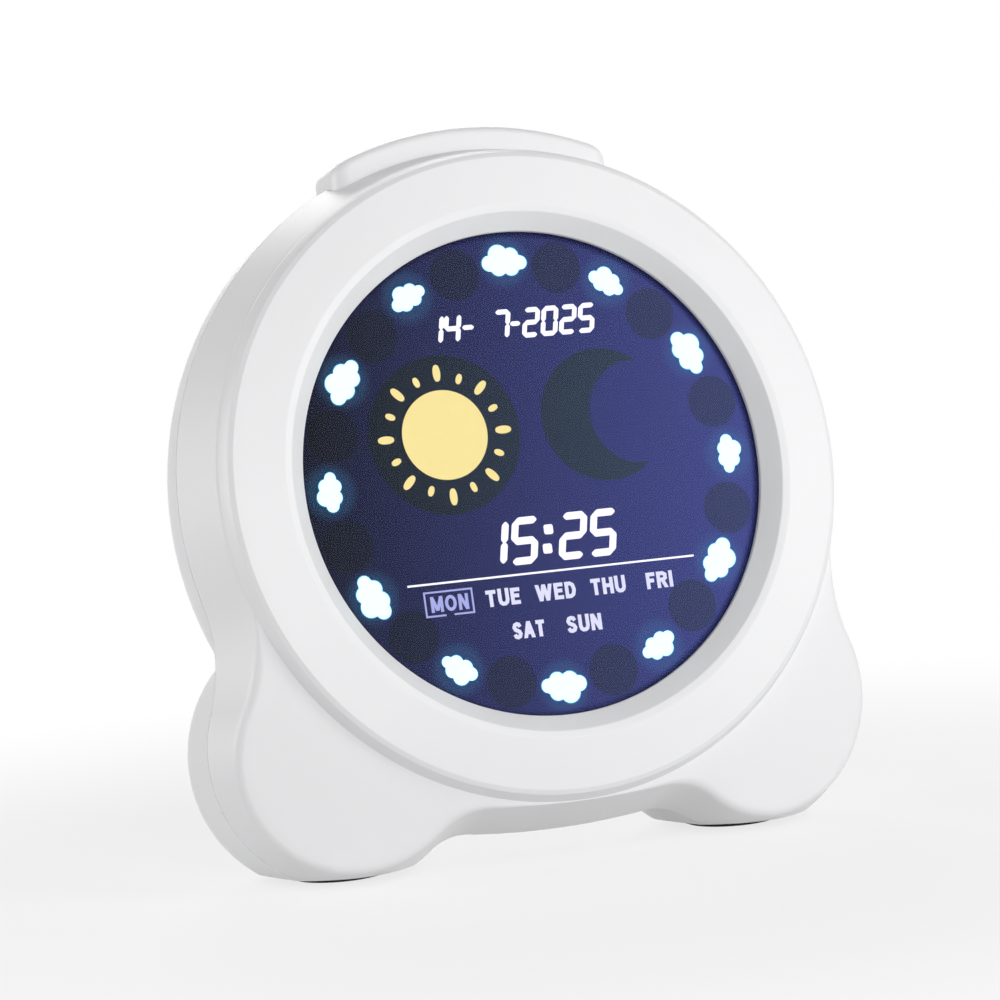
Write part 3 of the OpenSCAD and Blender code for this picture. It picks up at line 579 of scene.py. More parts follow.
def front_shell():
    """The front case as one loft: opening, ring, sloping face, soft edge, side wall and inside."""
    s, flare, open_r, seam = sizes(), DEFAULTS["flare"], sizes().opening_radius, sizes().seam_depth
    # Where the ring meets the face, how much the face falls back per mm, the outline's depth
    skirt_r, skirt_y, slope, edge_y = s.ring_radius + 1.3, 4.4, 0.3, 1.5
    # The seam's small step, and the least depth of the inside behind the face's edge
    seam_step, behind_edge = 0.25, 2.8
    ring_path = rounded(
        [(open_r, skirt_y), (open_r, 3.6), (open_r + 3.1, 0.35), (open_r + 4.5, 0),
         (s.ring_radius - 0.7, 1.4), (s.ring_radius + 0.15, 2.0), (skirt_r, skirt_y)],
        [0, 0.5, 0.7, 1.4, 0.6, 0.6, 0], 7)
    # The inside behind the ring: its wall, the web to the opening and the collar round it
    hall_r, web_y, collar_r, collar_y = 57.2, 3.7, open_r + 3.5, 11.6
    inner_path = [(hall_r, 7.4), (hall_r, web_y), (collar_r + 2, web_y), (collar_r + 2, collar_y),
                  (collar_r, collar_y), (collar_r, skirt_y)]
    # Steps of the soft edge, and shares of the way along the sloping face and the side wall
    edge_parts, face_steps, side_steps = 8, (0.06, 0.3, 0.6, 0.9), (0.12, 0.4, 0.7, 1.0)
    columns = []
    for p, n in case_outline():
        def wall(y, inset=0.0):
            q = p + n * (flare * (y - edge_y) - inset)
            return np.array([q[0], y, q[1]])

        def lies(y):
            return float(np.hypot(*wall(y)[[0, 2]]))

        def turned(path):
            return [np.array([r * way[0], depth, r * way[1]]) for r, depth in path]

        y = skirt_y
        # The side wall and the face meet where both say the same depth.
        for _ in range(30):
            y = skirt_y + slope * (lies(y) - skirt_r)
        y = max(y, skirt_y + max(skirt_r - lies(skirt_y), 0) / flare)
        edge, far = wall(y), lies(y)
        into = unit(np.array([-n[0], slope * float(-n @ (edge[[0, 2]] / far)), -n[1]]))
        down = unit(wall(y + 1) - edge)
        # Where the face is narrow the soft edge gets smaller.
        most = 0.35 * max(far - skirt_r, 0) * math.tan(corner_angle(into, down) / 2) + 0.03
        soft = bend(edge, into, down, min(s.foot_fillet, most), edge_parts)
        begin, end_y = soft[0], soft[-1][1]
        way = unit(begin[[0, 2]])
        column = turned(ring_path)
        base = column[-1]
        column += [base + (begin - base) * t for t in face_steps] + soft
        column += [wall(end_y + (seam - seam_step - end_y) * t) for t in side_steps]
        inside_from = len(column)
        column += [wall(seam, seam_step), wall(seam, WALL),
                   wall(min(y + behind_edge, seam - 1), WALL)]
        columns.append(column + turned(inner_path))
    rings = [[world(*column[j]) for column in columns] for j in range(len(columns[0]))]
    for ring in rings[inside_from:]:
        for v in ring:
            v.z = max(v.z, INSIDE_Z * MM)
    return loft(rings, closed=True)


def cut_sole(edit):
    """Cuts the feet flat where the pads go and closes the cut."""
    geometry = edit.verts[:] + edit.edges[:] + edit.faces[:]
    cut = bmesh.ops.bisect_plane(edit, geom=geometry, dist=1e-7, plane_co=(0, 0, SOLE_Z * MM),
                                 plane_no=(0, 0, -1), clear_outer=True)
    rim = [e for e in cut["geom_cut"] if isinstance(e, bmesh.types.BMEdge) and e.is_boundary]
    if rim:
        bmesh.ops.triangle_fill(edit, use_beauty=True, use_dissolve=True, edges=rim)


def plan_ring(inset, radius, corner=CORNER):
    """The bar's rounded plan, drawn in by the inset and laid on an arc of the given radius."""
    s, front = sizes(), DEFAULTS["bar_front"]
    h, a, b = s.bar_length / 2 - inset, front + inset, front + s.bar_depth - inset
    r = max(corner - inset, 0.15)
    points = []
    for cx, cy, start in ((h - r, a + r, -math.pi / 2), (h - r, b - r, 0),
                          (-h + r, b - r, math.pi / 2), (-h + r, a + r, math.pi)):
        points += arc(cx, cy, r, start, start + math.pi / 2, CORNER_PARTS + 1)
    plan = []
    for p, q in zip(points, points[1:] + points[:1]):
        plan.append(p)
        if abs(q[0] - p[0]) > 2 * r and abs(q[1] - p[1]) < 0.01:
            plan += [(p[0] + (q[0] - p[0]) * k / SIDE_PARTS, p[1]) for k in range(1, SIDE_PARTS)]
    return [world(x, y, math.sqrt(radius * radius - x * x)) for x, y in plan]


def bar_shell():
    """The bar button: crowned top with a soft edge, sides, guide lip and hollow underside."""
    top, soft = DEFAULTS["bar_top"], sizes().bar_fillet
    # Radii of the skirt's foot and of the guide lip over it, and how far the lip stands out
    skirt, lip, lip_out = 59.5, 60.7, 0.9
    side_t, top_t, bevel = 1.8, 1.8, 0.6
    middle = sizes().bar_depth / 2 - 0.4
    rings = [plan_ring(inset, top, max(CORNER, inset + 0.2)) for inset in (middle, 5.0, 3.6)]
    for rise, out_by in arc(0, 0, soft, 0, math.pi / 2, 8):
        rings.append(plan_ring(soft - out_by, top - soft + rise))
    rings += [plan_ring(0, radius) for radius in (65.0, 63.0, lip + 0.01)]
    rings += [plan_ring(-lip_out, radius, CORNER + lip_out) for radius in (lip, skirt)]
    rings += [plan_ring(side_t, skirt), plan_ring(side_t, top - top_t - bevel),
              plan_ring(side_t + bevel, top - top_t), plan_ring(middle, top - top_t, middle + 0.2)]
    verts, faces = loft(rings)
    # Strips of quads from one long side to the other close the slots in the middle.
    count, low = len(rings[0]), 2 * CORNER_PARTS + 1
    for start in (0, len(verts) - count):
        for k in range(CORNER_PARTS, CORNER_PARTS + 1 - count // 2, -1):
            faces.append(tuple(start + i % count for i in (k, low - k, low + 1 - k, k - 1)))
    return verts, faces


# Flat marks on the display, drawn in x and z of the face frame

def strokes(name, parts, finish_name, change=None):
    """Joins flat strokes into one piece."""
    keep(name, join_parts(parts), finish_name, "case", change=change)


def marks(name, shapes, finish_name, thick=MARK):
    """Thin raised marks on the display, one over each closed drawing."""
    strokes(name, [slab(shape, ART_Y, thick) for shape in shapes], finish_name, change=weld_points)


def segment(a, b, width):
    """One segment of a figure: a bar whose ends narrow to blunt points."""
    a, b = np.array(a, float), np.array(b, float)
    e = unit(b - a)
    n = across(e) * width / 2
    # How far in from the end, in widths, and how wide, as a share
    ends = ((0.6, 1.0), (0.42, 0.93), (0.13, 0.42), (0.03, 0.14))
    shape = []
    for p, way, side, order in ((a, 1, 1, -1), (b, -1, 1, 1), (b, -1, -1, -1), (a, 1, -1, 1)):
        shape += [p + e * width * d * way + n * h * side for d, h in ends[::order]]
    return shape


SEGMENTS = {"0": "abcdef", "1": "bc", "2": "abged", "4": "fgbc", "5": "afgcd", "7": "abc"}
SLANT = 0.2


def figure(glyph, x, z, width, height, stroke):
    """A seven-segment figure, leaning to the right; x and z are its low left corner."""
    o, mid, right, top = stroke / 2, height / 2, width - stroke / 2, height - stroke / 2
    places = {"a": (o, top, right, top), "b": (right, mid, right, top), "c": (right, o, right, mid),
              "d": (o, o, right, o), "e": (o, o, o, mid), "f": (o, mid, o, top),
              "g": (o, mid, right, mid)}
    # Past its corner point each segment reaches this far, less the gap to the next one.
    past = o * 0.3 - 0.05 * stroke
    shapes = []
    for name in SEGMENTS[glyph]:
        a, b = np.array(places[name][:2]), np.array(places[name][2:])
        e = unit(b - a)
        shapes.append([(x + u + SLANT * v, z + v)
                       for u, v in segment(a - e * past, b + e * past, stroke)])
    return shapes


def ribbon(points, width, y=ART_Y, thick=MARK, closed=False):
    """A flat band along a drawing in x and z, as a thin closed solid."""
    p = [np.array(q, float) for q in points]
    sections = []
    for i, spot in enumerate(p):
        ways = [spot - p[i - 1]] if closed or i else []
        if closed or i < len(p) - 1:
            ways.append(p[(i + 1) % len(p)] - spot)
        normals = [unit(across(way)) for way in ways]
        side = unit(sum(normals))
        side *= width / 2 / max(float(side @ normals[0]), 0.5)
        left, right = spot + side, spot - side
        sections.append([world(q[0], depth, q[1]) for q, depth in (
            (left, y - thick), (right, y - thick), (right, y), (left, y))])
    return loft(sections, closed=closed, caps=not closed)


def beam(a, b, stroke, y, thick):
    """A steep stroke of a letter with level ends, as a thin closed solid."""
    half = stroke / 2 * math.hypot(b[0] - a[0], b[1] - a[1]) / abs(b[1] - a[1])
    low, high = sorted((a, b), key=lambda p: p[1])
    return slab([(low[0] - half, low[1]), (low[0] + half, low[1]), (high[0] + half, high[1]),
                 (high[0] - half, high[1])], y, thick)


# Each plain block capital: its width in strokes' middles, its straight strokes and its bent ones
STEM, STEM_RIGHT = ((0, 0), (0, 1)), ((1, 0), (1, 1))
LETTERS = {
    "A": (1.75, [((0, 0), (0.5, 1)), ((0.5, 1), (1, 0))], [[(0.2, 0.28), (0.8, 0.28)]]),
    "D": (1.4, [], [[(0, 0), (0, 1), (0.5, 1), (0.85, 0.86), (1, 0.5), (0.85, 0.14), (0.5, 0)]]),
    "E": (1.15, [STEM], [[(0, 1), (1.25, 1)], [(0, 0), (1.25, 0)], [(0, 0.53), (1.1, 0.53)]]),
    "F": (1.05, [STEM], [[(0, 1), (1.3, 1)], [(0, 0.5), (1.1, 0.5)]]),
    "H": (1.4, [STEM, STEM_RIGHT], [[(0, 0.52), (1, 0.52)]]),
    "I": (0.0, [STEM], []),
    "M": (1.85, [STEM, STEM_RIGHT, ((0, 1), (0.5, 0.1)), ((0.5, 0.1), (1, 1))], []),
    "N": (1.4, [STEM, STEM_RIGHT, ((0, 1), (1, 0))], []),
    "O": (1.7, [], [disc(0.5, 0.5, 0.5, 24)]),
    "R": (1.4, [STEM, ((1, 0), (0.55, 0.46))],
          [[(0, 1), (0.65, 1), (0.95, 0.88), (0.95, 0.62), (0.65, 0.5), (0, 0.5)]]),
    "S": (1.35, [], [[(0.98, 0.78), (0.8, 0.97), (0.5, 1.02), (0.18, 0.95), (0.04, 0.76),
                      (0.2, 0.58), (0.8, 0.42), (0.96, 0.24), (0.82, 0.05), (0.5, -0.02),
                      (0.2, 0.03), (0.02, 0.22)]]),
    "T": (1.35, [((0.5, 0), (0.5, 1))], [[(-0.2, 1), (1.2, 1)]]),
    "U": (1.4, [], [[(0, 1.2), (0, 0.3), (0.1, 0.1), (0.32, 0), (0.68, 0), (0.9, 0.1), (1, 0.3),
                     (1, 1.2)]]),
    "W": (2.6, [((0, 1), (0.25, 0)), ((0.25, 0), (0.5, 1)), ((0.5, 1), (0.75, 0)),
                ((0.75, 0), (1, 1))], []),
}
CLOSED_LETTERS = "DO"


def word(text, cx, cz, cap, wide, stroke, y=ART_Y, thick=MARK, side=1):
    """A word of block capitals, wide by cap in mm, about cx and cz; side is -1 on the back."""
    space = 1.0
    total = sum(LETTERS[c][0] for c in text) + space * (len(text) - 1)
    unit_x = side * (wide - stroke) / total
    x, low, tall = cx - side * (wide - stroke) / 2, cz - cap / 2, cap - stroke
    parts = []
    for glyph in text:
        w, straight, bent = LETTERS[glyph]
        for ends in straight:
            a, b = [(x + u * w * unit_x, low + v * cap) for u, v in ends]
            parts.append(beam(a, b, stroke, y, thick))
        for line in bent:
            drawn = [(x + u * w * unit_x, low + stroke / 2 + v * tall) for u, v in line]
            parts.append(ribbon(drawn, stroke, y, thick, glyph in CLOSED_LETTERS))
        x += (w + space) * unit_x
    return parts


# Repeated marks

def hour_tree():
    """Places a mark at each of the hours on a circle, foot inwards, big and small in turn."""
    tree = bpy.data.node_groups.new("hour_marks", "GeometryNodeTree")
    for name, kind in (("Geometry", "Geometry"), ("Ring radius", "Float"), ("Count", "Int"),
                       ("Start angle", "Float"), ("Small share", "Float"), ("Finish", "Material")):
        tree.interface.new_socket(name, in_out="INPUT", socket_type="NodeSocket" + kind)
    tree.interface.new_socket("Geometry", in_out="OUTPUT", socket_type="NodeSocketGeometry")
    given = add(tree, "NodeGroupInput").outputs
    index = out(tree, "GeometryNodeInputIndex")
    points = out(tree, "GeometryNodePoints", {"Count": given["Count"]})
    turn = maths(tree, "MULTIPLY_ADD", maths(tree, "DIVIDE", index, given["Count"]), math.tau,
                 given["Start angle"])
    spot = out(tree, "ShaderNodeCombineXYZ", {
        0: maths(tree, "SINE", turn), 2: maths(tree, "COSINE", turn)})
    reach = out(tree, "ShaderNodeVectorMath", {
        0: spot, "Scale": given["Ring radius"]}, operation="SCALE")
    placed = out(tree, "GeometryNodeSetPosition", {"Geometry": points, "Position": reach})
    size = out(tree, "ShaderNodeMix", {
        0: maths(tree, "MODULO", index, 2.0), 2: 1.0, 3: given["Small share"]}, data_type="FLOAT")
    lean = out(tree, "ShaderNodeCombineXYZ", {1: turn})
    copies = out(tree, "GeometryNodeInstanceOnPoints", {
        "Points": placed, "Instance": given["Geometry"], "Rotation": lean, "Scale": size})
    real = out(tree, "GeometryNodeRealizeInstances", {"Geometry": copies})
    dressed = out(tree, "GeometryNodeSetMaterial", {"Geometry": real, "Material": given["Finish"]})
    add(tree, "NodeGroupOutput", {"Geometry": dressed})
    return tree


def run_tree(name, mesh, tree, values):
    """Runs a node tree on a mesh and returns the plain mesh that it makes."""
    holder = link(name + "_source", mesh)
    change = holder.modifiers.new("marks", "NODES")
    change.node_group = tree
    for item in tree.interface.items_tree:
        if item.item_type == "SOCKET" and item.in_out == "INPUT" and item.name in values:
            change[item.identifier] = values[item.name]
    holder.update_tag()
    made = modified(holder)
    holder.modifiers.remove(change)
    bpy.data.objects.remove(holder)
    return made


def modified(holder):
    """A plain mesh of what an object's modifiers make of it."""
    bpy.context.view_layer.update()
    graph = bpy.context.evaluated_depsgraph_get()
    return bpy.data.meshes.new_from_object(holder.evaluated_get(graph))


def cloud_outline(width, grow=0.0):
    """A plain cloud: bumps over a flatter base, outlined by the union of discs."""
    lobes = [(-0.34, -0.03, 0.17), (0.36, -0.05, 0.15), (-0.12, 0.14, 0.22), (0.16, 0.10, 0.18),
             (-0.14, -0.12, 0.19), (0.14, -0.14, 0.18), (0.0, 0.0, 0.24)]
    drawn = []
    for way in disc(0, 0, 1, 96):
        far = 0.0
        for x, z, r in lobes:
            along = x * way[0] + z * way[1]
            miss = x * x + z * z - along * along
            if r * r > miss:
                far = max(far, along + math.sqrt(r * r - miss))
        drawn.append((way[0] * (far * width + grow), way[1] * (far * width + grow)))
    return drawn


# Operators

class DAYCLOCK_OT_case(bpy.types.Operator):
    """Builds the front case with its ring, sloping face, soft feet and bar slot"""
    bl_idname = "day_clock.case"
    bl_label = "Front case"

    def execute(self, context):
        gap, sharp = 0.3, 28
        made = keep("case_front", front_shell(), "abs_satin_white", "case", ("front_case",),
                    sharp)
        fix_normals(made.data, cut_sole)
        # The bar's slot is cut from under the bar's lip to over its top.
        rings = [plan_ring(-gap, radius) for radius in (56.0, 75.0)]
        cutter = link("slot_cutter", mesh_of("slot_cutter", *loft(rings, caps=True)))
        fix_normals(cutter.data, weld_points)
        change = made.modifiers.new("slot", "BOOLEAN")
        change.operation, change.solver, change.object = "DIFFERENCE", "EXACT", cutter
        result = modified(made)
        made.modifiers.remove(change)
        made.data = result
        result.name = "case_front"
        bpy.data.objects.remove(cutter)
        smooth(result, sharp)
        if len(result.polygons) < 1000:
            raise RuntimeError("the bar slot emptied the front case")
        return {"FINISHED"}


class DAYCLOCK_OT_bar(bpy.types.Operator):
    """Builds the bar button with its guide posts and pegs"""
    bl_idname = "day_clock.bar"
    bl_label = "Bar button"

    def execute(self, context):
        parts, post_y = [bar_shell()], 23.8
        # The guide posts and the pegs over the switches: place, foot, head and radius
        for side in (-1, 1):
            for x, foot, head, radius in ((20, 50.4, 64.8, 1.5), (10, 57.6, 66.4, 2.0)):
                parts.append(rod(side * x, post_y, foot, head, radius))
        keep("bar_cap", join_parts(parts), "abs_satin_white", "bar", ("bar_button",),
             50)
        return {"FINISHED"}


class DAYCLOCK_OT_keys(bpy.types.Operator):
    """Builds the six round rear keys with dished tops"""
    bl_idname = "day_clock.keys"
    bl_label = "Rear keys"

    def execute(self, context):
        d, r = DEFAULTS, sizes().key_radius
        back_in, top = d["case_depth"] - WALL, d["case_depth"] + d["key_proud"]
        lip, soft, axis = 0.8, 0.7, 0.02
        # The lip's underside keeps off the switch that stops the key.
        under = back_in - 0.96
        path = [(axis, under), (r + lip, under), (r + lip, back_in), (r, back_in + 0.02),
                *arc(r - soft, top - soft, soft, 0, math.pi / 2, 7),
                (r * 0.6, top - 0.12), (r * 0.3, top - 0.2), (axis, top - 0.22)]
        for i in range(6):
            drawn = lathe_y((i - 2.5) * d["key_pitch"], d["key_height"], path)
            keep(f"key_cap_{i + 1}", drawn, "abs_key_white", f"key_{i + 1}_body",
                 (f"key_{i + 1}",), 35)
        return {"FINISHED"}


class DAYCLOCK_OT_window(bpy.types.Operator):
    """Sets the clear window with a broken front edge, a hair's air before the display"""
    bl_idname = "day_clock.window"
    bl_label = "Window"

    def execute(self, context):
        lo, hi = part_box("display_window")
        radius = (hi.x - lo.x) / 2 / MM
        front, back, edge, axis = DEFAULTS["window_depth"], ART_Y - 0.1, 0.25, 0.02
        path = [(axis, front), (radius - edge, front), (radius, front + edge), (radius, back),
                (axis, back)]
        keep("window_sheet", lathe_y(0, 0, path, 128), "clear_acrylic", "case",
             ("display_window",), 20)
        return {"FINISHED"}


class DAYCLOCK_OT_hours(bpy.types.Operator):
    """Sets the twelve lit clouds and the unlit discs between them round the display"""
    bl_idname = "day_clock.hours"
    bl_label = "Hour marks"

    def execute(self, context):
        tree, ring, width = hour_tree(), sizes().hour_ring, sizes().hour_mark
        for name, shape, thick, finish_name, radius, start, small in (
                ("hour_glow", cloud_outline(width, 0.2), 0.015, "cloud_glow", ring, 0.0, 0.82),
                ("hour_clouds", cloud_outline(width), MARK, "lit_clouds", ring, 0.0, 0.82),
                ("hour_dots", disc(0, 0, 4.9, 40), THIN_MARK, "unlit_dots", ring - 0.6,
                 math.radians(15), 1.0)):
            source = mesh_of(name + "_source", *slab(shape, 0, thick, lambda *p: Vector(p)))
            fix_normals(source, weld_points)
            mesh = run_tree(name, source, tree, {
                "Ring radius": radius, "Count": 12, "Start angle": start, "Small share": small,
                "Finish": finish(finish_name)})
            for v in mesh.vertices:
                v.co = world(v.co.x, v.co.y + ART_Y, v.co.z)
            keep_mesh(name, mesh, finish_name, "case")
        return {"FINISHED"}


class DAYCLOCK_OT_pictures(bpy.types.Operator):
    """Draws the plain sun, its unlit disc and the unlit half moon"""
    bl_idname = "day_clock.pictures"
    bl_label = "Sun and moon"

    def execute(self, context):
        cx, cz, backing_r, sun_r = -16.5, 8.57, 14.9, 8.4
        marks("sun_backing", [disc(cx, cz, backing_r)], "unlit_marks", THIN_MARK)
        shapes = [disc(cx, cz, sun_r)]
        # Long and short rays in turn, each an oval with fuller sides
        rays, inner = 16, 10.0
        for k in range(rays):
            t = math.tau * k / rays
            outer, half = (12.0, 0.6) if k % 2 else (13.2, 0.75)
            e = np.array([math.cos(t), math.sin(t)])
            n = across(e)
            shape = []
            for c, s in disc(0, 0, 1, 20):
                along = (inner + outer) / 2 + (outer - inner) / 2 * c
                shape.append(e * along + n * half * math.copysign(abs(s) ** 0.8, s))
            shapes.append([(cx + p[0], cz + p[1]) for p in shape])
        marks("sun_mark", shapes, "lit_sun")
        # The crescent lies between a large arc and a smaller one that runs back.
        moon = arc(15.6, 9.7, 12.6, math.radians(50), math.radians(310), 60)
        moon += arc(22.8, 9.7, 9.9, math.radians(258), math.radians(102), 50)
        marks("moon_ghost", [moon], "unlit_marks", THIN_MARK)
        return {"FINISHED"}


class DAYCLOCK_OT_figures(bpy.types.Operator):
    """Draws the date, the time and the rule under them"""
    bl_idname = "day_clock.figures"
    bl_label = "Date and time"

    def execute(self, context):
        shapes, low, width, height, stroke, dash_z = [], 25.4, 3.45, 5.7, 0.95, 28.25
        for glyph, x in (("1", -17.9), ("4", -14.45), ("7", -4.6), ("2", 1.4), ("0", 5.15),
                         ("2", 8.9), ("5", 12.65)):
            shapes += figure(glyph, x, low, width, height, stroke)
        for x0, x1 in ((-10.18, -7.83), (-0.58, 1.52)):
            shapes.append(segment((x0, dash_z), (x1, dash_z), 0.9))
        marks("date_figures", shapes, "lit_figures")
        shapes, low, width, height, stroke, half, cut = [], -16.9, 5.5, 8.85, 1.4, 0.92, 0.7
        for glyph, x in (("1", -13.5), ("5", -7.4), ("2", 2.35), ("5", 8.5)):
            shapes += figure(glyph, x, low, width, height, stroke)
        # The colon's two dots are squares with cut corners.
        for z in (-10.85, -14.4):
            x = 0.05 + SLANT * (z - low)
            shapes.append([(x + half * px, z + half * pz) for px, pz in (
                (-1, -cut), (-cut, -1), (cut, -1), (1, -cut), (1, cut), (cut, 1), (-cut, 1),
                (-1, cut))])
        marks("time_figures", shapes, "lit_figures")
        strokes("rule_line", [ribbon([(-27.9, -18.65), (29.8, -18.65)], 0.37)], "lit_figures")
        return {"FINISHED"}


class DAYCLOCK_OT_words(bpy.types.Operator):
    """Writes the days of the week and boxes the first"""
    bl_idname = "day_clock.words"
    bl_label = "Days of the week"

    def execute(self, context):
        row, low = -22.5, -28.95
        parts = []
        for text, x, z, wide in (
                ("TUE", -9.6, row, 6.9), ("WED", 0.95, row, 8.1), ("THU", 11.55, row, 7.1),
                ("FRI", 22.1, row, 5.4), ("SAT", -5.4, low, 6.5), ("SUN", 5.7, low, 7.1)):
            parts += word(text, x, z, 3.1, wide, 0.72)
        strokes("day_words", parts, "lit_words")
        left, right, foot, head = -24.9, -15.6, -24.6, -20.2
        box = [(-21.1, foot), (left, foot), (left, head), (right, head), (right, foot),
               (-19.5, foot)]
        parts = word("MON", -20.15, row + 0.05, 2.95, 7.4, 0.6) + [ribbon(box, 0.34)]
        strokes("day_now", parts, "lit_box")
        return {"FINISHED"}


class DAYCLOCK_OT_back_print(bpy.types.Operator):
    """Prints ON and OFF beside the rear slide switch"""
    bl_idname = "day_clock.back_print"
    bl_label = "Rear print"

    def execute(self, context):
        parts = []
        for text, x, wide in (("ON", 24.6, 2.9), ("OFF", 15.4, 3.9)):
            parts += word(text, x, 23.6, 1.6, wide, 0.26, DEFAULTS["case_depth"] + 0.03, 0.02, -1)
        strokes("switch_print", parts, "printed_grey")
        return {"FINISHED"}


CARRIED = {
    "abs_satin_white": ["rear_cover", "battery_door", "bar_cradle", "display_frame"],
    "guide_acrylic": ["light_guide"],
    "lit_display_glass": ["lcd_panel"],
    "diffuser_film": ["diffuser"],
    "circuit_board": ["lamp_strips", "main_board", "bar_board", "key_board", "socket_board"],
    "moulded_black": ["board_parts", "bar_switches", "key_switches", "speaker", "slide_switch",
                      "slide_knob", "bar_stems"],
    "acetal_tan": [f"key_stem_{i}" for i in range(1, 7)],
    "silicone_rubber": ["connector_strip", "foot_pads"],
    "zinc_plated_steel": ["board_screws", "cradle_screws", "key_board_screws", "door_screw",
                          "case_screws"],
    "nickel_plated_steel": ["contact_springs", "contact_plates", "power_socket"],
    "cell_sleeve": ["cells"],
}


class DAYCLOCK_OT_carried(bpy.types.Operator):
    """Dresses the solids that show as they were packed"""
    bl_idname = "day_clock.carried"
    bl_label = "Carried pieces"

    def execute(self, context):
        dressed = set()
        for finish_name, nodes in CARRIED.items():
            for node in nodes:
                made = frame["nodes"][node]
                made.data.materials.clear()
                made.data.materials.append(finish(finish_name))
                dressed.add(node)
        left = [n for n, o in frame["nodes"].items() if n not in dressed and not o.hide_render]
        if left:
            raise RuntimeError("no finish for " + ", ".join(left))
        return {"FINISHED"}


def camera_matrix():
    """The photograph's viewpoint: yaw and pitch round the face, roll, distance and offset in mm."""
    yaw, pitch, roll = 0.3750157165, -0.1003128144, 0.1404884649
    far, shift_x, shift_y, ring_y = 647.8624528, 7.685745951, 5.681530151, 1.5
    back = Vector((-math.sin(yaw) * math.cos(pitch), -math.cos(yaw) * math.cos(pitch),
                   math.sin(pitch)))
    level = Vector((math.cos(yaw), -math.sin(yaw), 0))
    above = back.cross(level)
    if above.z < 0:
        above = -above
    right = level * math.cos(roll) - above * math.sin(roll)
    up = level * math.sin(roll) + above * math.cos(roll)
    spot = -shift_x * right - shift_y * up + far * back
    spot.y += ring_y
    matrix = Matrix([TILT @ v for v in (right, up, back)]).transposed().to_4x4()
    matrix.translation = world(*spot)
    return matrix


def seen_directly(tree):
    """1 for what the camera sees directly, in a reflection or through the window, else 0."""
    path = add(tree, "ShaderNodeLightPath").outputs
    return maths(tree, "MAXIMUM", path["Is Camera Ray"], maths(
        tree, "MAXIMUM", path["Is Glossy Ray"], path["Is Transmission Ray"]))


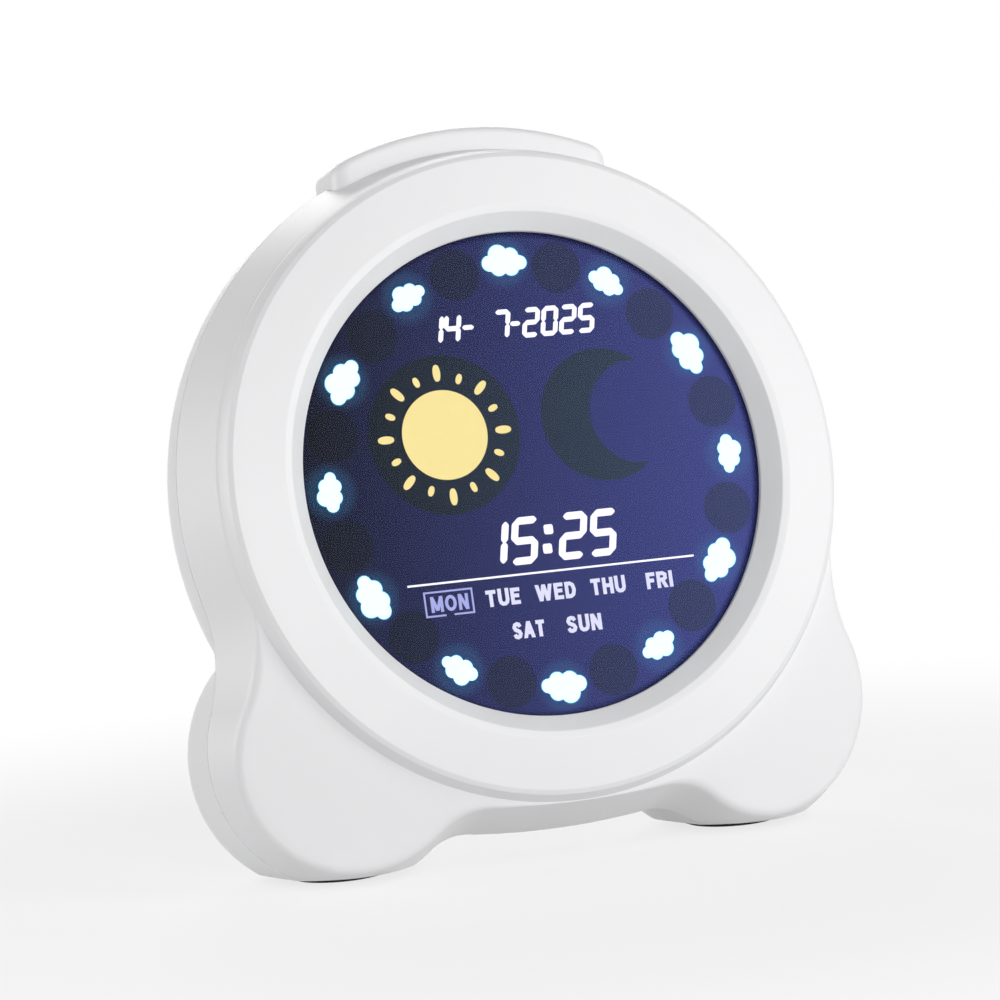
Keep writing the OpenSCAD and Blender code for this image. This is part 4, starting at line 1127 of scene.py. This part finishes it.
class DAYCLOCK_OT_stage(bpy.types.Operator):
    """Sets the floor, the soft lights and the camera"""
    bl_idname = "day_clock.stage"
    bl_label = "Floor, lights and camera"

    def execute(self, context):
        scene = context.scene
        scene.view_settings.view_transform = "Standard"
        stage = [self.floor(), *self.lamps()]
        self.air(scene)
        data = bpy.data.cameras.new("camera")
        data.lens, data.sensor_width = 126.0, 36.0
        data.clip_start, data.clip_end = 0.01, 50
        eye = link("camera", data)
        eye.matrix_world = camera_matrix()
        scene.camera = eye
        return {"FINISHED"}

    def floor(self):
        """Pale floor that shows the shadow near the clock and turns plain white farther out."""
        half, near, wide = 6, 0.09, 0.3
        corners = [(-half, -half, 0), (half, -half, 0), (half, half, 0), (-half, half, 0)]
        floor = link("floor", mesh_of("floor", corners, [(0, 1, 2, 3)]))
        made = bpy.data.materials.new("pale_floor")
        tree = clear_tree(made)
        away = add(tree, "ShaderNodeVectorMath", {
            0: add(tree, "ShaderNodeTexCoord").outputs["Object"]}, operation="LENGTH")
        white = ramp(tree, away.outputs["Value"], near, wide, 0.75, 1.0, "SMOOTHSTEP")
        matt = out(tree, "ShaderNodeBsdfDiffuse", {"Color": (0.88, 0.88, 0.88, 1)})
        glow = out(tree, "ShaderNodeEmission", {"Color": (1, 1, 1, 1), "Strength": 1.0})
        part = out(tree, "ShaderNodeMixShader", {
            0: maths(tree, "MULTIPLY", seen_directly(tree), white), 1: matt, 2: glow})
        add(tree, "ShaderNodeOutputMaterial", {"Surface": part})
        floor.data.materials.append(made)
        return floor

    def air(self, scene):
        """Soft light from all round, behind which the camera sees plain white."""
        scene.world = bpy.data.worlds.new("soft_studio")
        tree = clear_tree(scene.world)
        soft = out(tree, "ShaderNodeBackground", {"Color": (0.98, 0.98, 1.0, 1), "Strength": 0.2})
        sky = out(tree, "ShaderNodeBackground", {"Color": (1, 1, 1, 1), "Strength": 1.0})
        both = out(tree, "ShaderNodeMixShader", {0: seen_directly(tree), 1: soft, 2: sky})
        add(tree, "ShaderNodeOutputWorld", {"Surface": both})

    def lamps(self):
        """Square lamps that look at the clock's middle: place, size in metres and power."""
        made = []
        for name, spot, size, power in (("front_light", (-0.12, -1.25, 0.3), 0.5, 5.4),
                                        ("high_right_light", (0.62, -0.86, 0.92), 0.5, 2.4),
                                        ("low_right_light", (0.75, -0.85, 0.25), 0.5, 3.6),
                                        ("left_light", (-1.1, 0.45, 0.28), 0.6, 5.2),
                                        ("back_light", (0.2, 1.2, 0.7), 0.6, 5.0)):
            data = bpy.data.lights.new(name, "AREA")
            data.shape, data.size, data.energy = "SQUARE", size, power
            lamp = link(name, data)
            lamp.location = spot
            look = Vector((0, 0, 0.07)) - Vector(spot)
            lamp.rotation_euler = look.to_track_quat("-Z", "Y").to_euler()
            made.append(lamp)
        return made


STEPS = (DAYCLOCK_OT_case, DAYCLOCK_OT_bar, DAYCLOCK_OT_keys, DAYCLOCK_OT_window,
         DAYCLOCK_OT_hours, DAYCLOCK_OT_pictures, DAYCLOCK_OT_figures, DAYCLOCK_OT_words,
         DAYCLOCK_OT_back_print, DAYCLOCK_OT_carried, DAYCLOCK_OT_stage)


class DAYCLOCK_PT_panel(bpy.types.Panel):
    """Lists the clock's pieces, sizes and colours"""
    bl_label = "Day clock"
    bl_idname = "DAYCLOCK_PT_panel"
    bl_space_type = "VIEW_3D"
    bl_region_type = "UI"
    bl_category = "Day clock"

    def draw(self, context):
        for step in STEPS:
            self.layout.operator(step.bl_idname)
        for group in (context.scene.day_clock_sizes, context.scene.day_clock_colours):
            for key in group.__annotations__:
                self.layout.prop(group, key)


CLASSES = (DayClockSizes, DayClockColours, *STEPS, DAYCLOCK_PT_panel)


def register():
    for cls in CLASSES:
        bpy.utils.register_class(cls)
    bpy.types.Scene.day_clock_sizes = bpy.props.PointerProperty(type=DayClockSizes)
    bpy.types.Scene.day_clock_colours = bpy.props.PointerProperty(type=DayClockColours)


def unregister():
    del bpy.types.Scene.day_clock_colours
    del bpy.types.Scene.day_clock_sizes
    for cls in reversed(CLASSES):
        bpy.utils.unregister_class(cls)


def main():
    register()
    for step in STEPS:
        group, name = step.bl_idname.split(".")
        getattr(getattr(bpy.ops, group), name)()


if __name__ == "__main__":
    main()
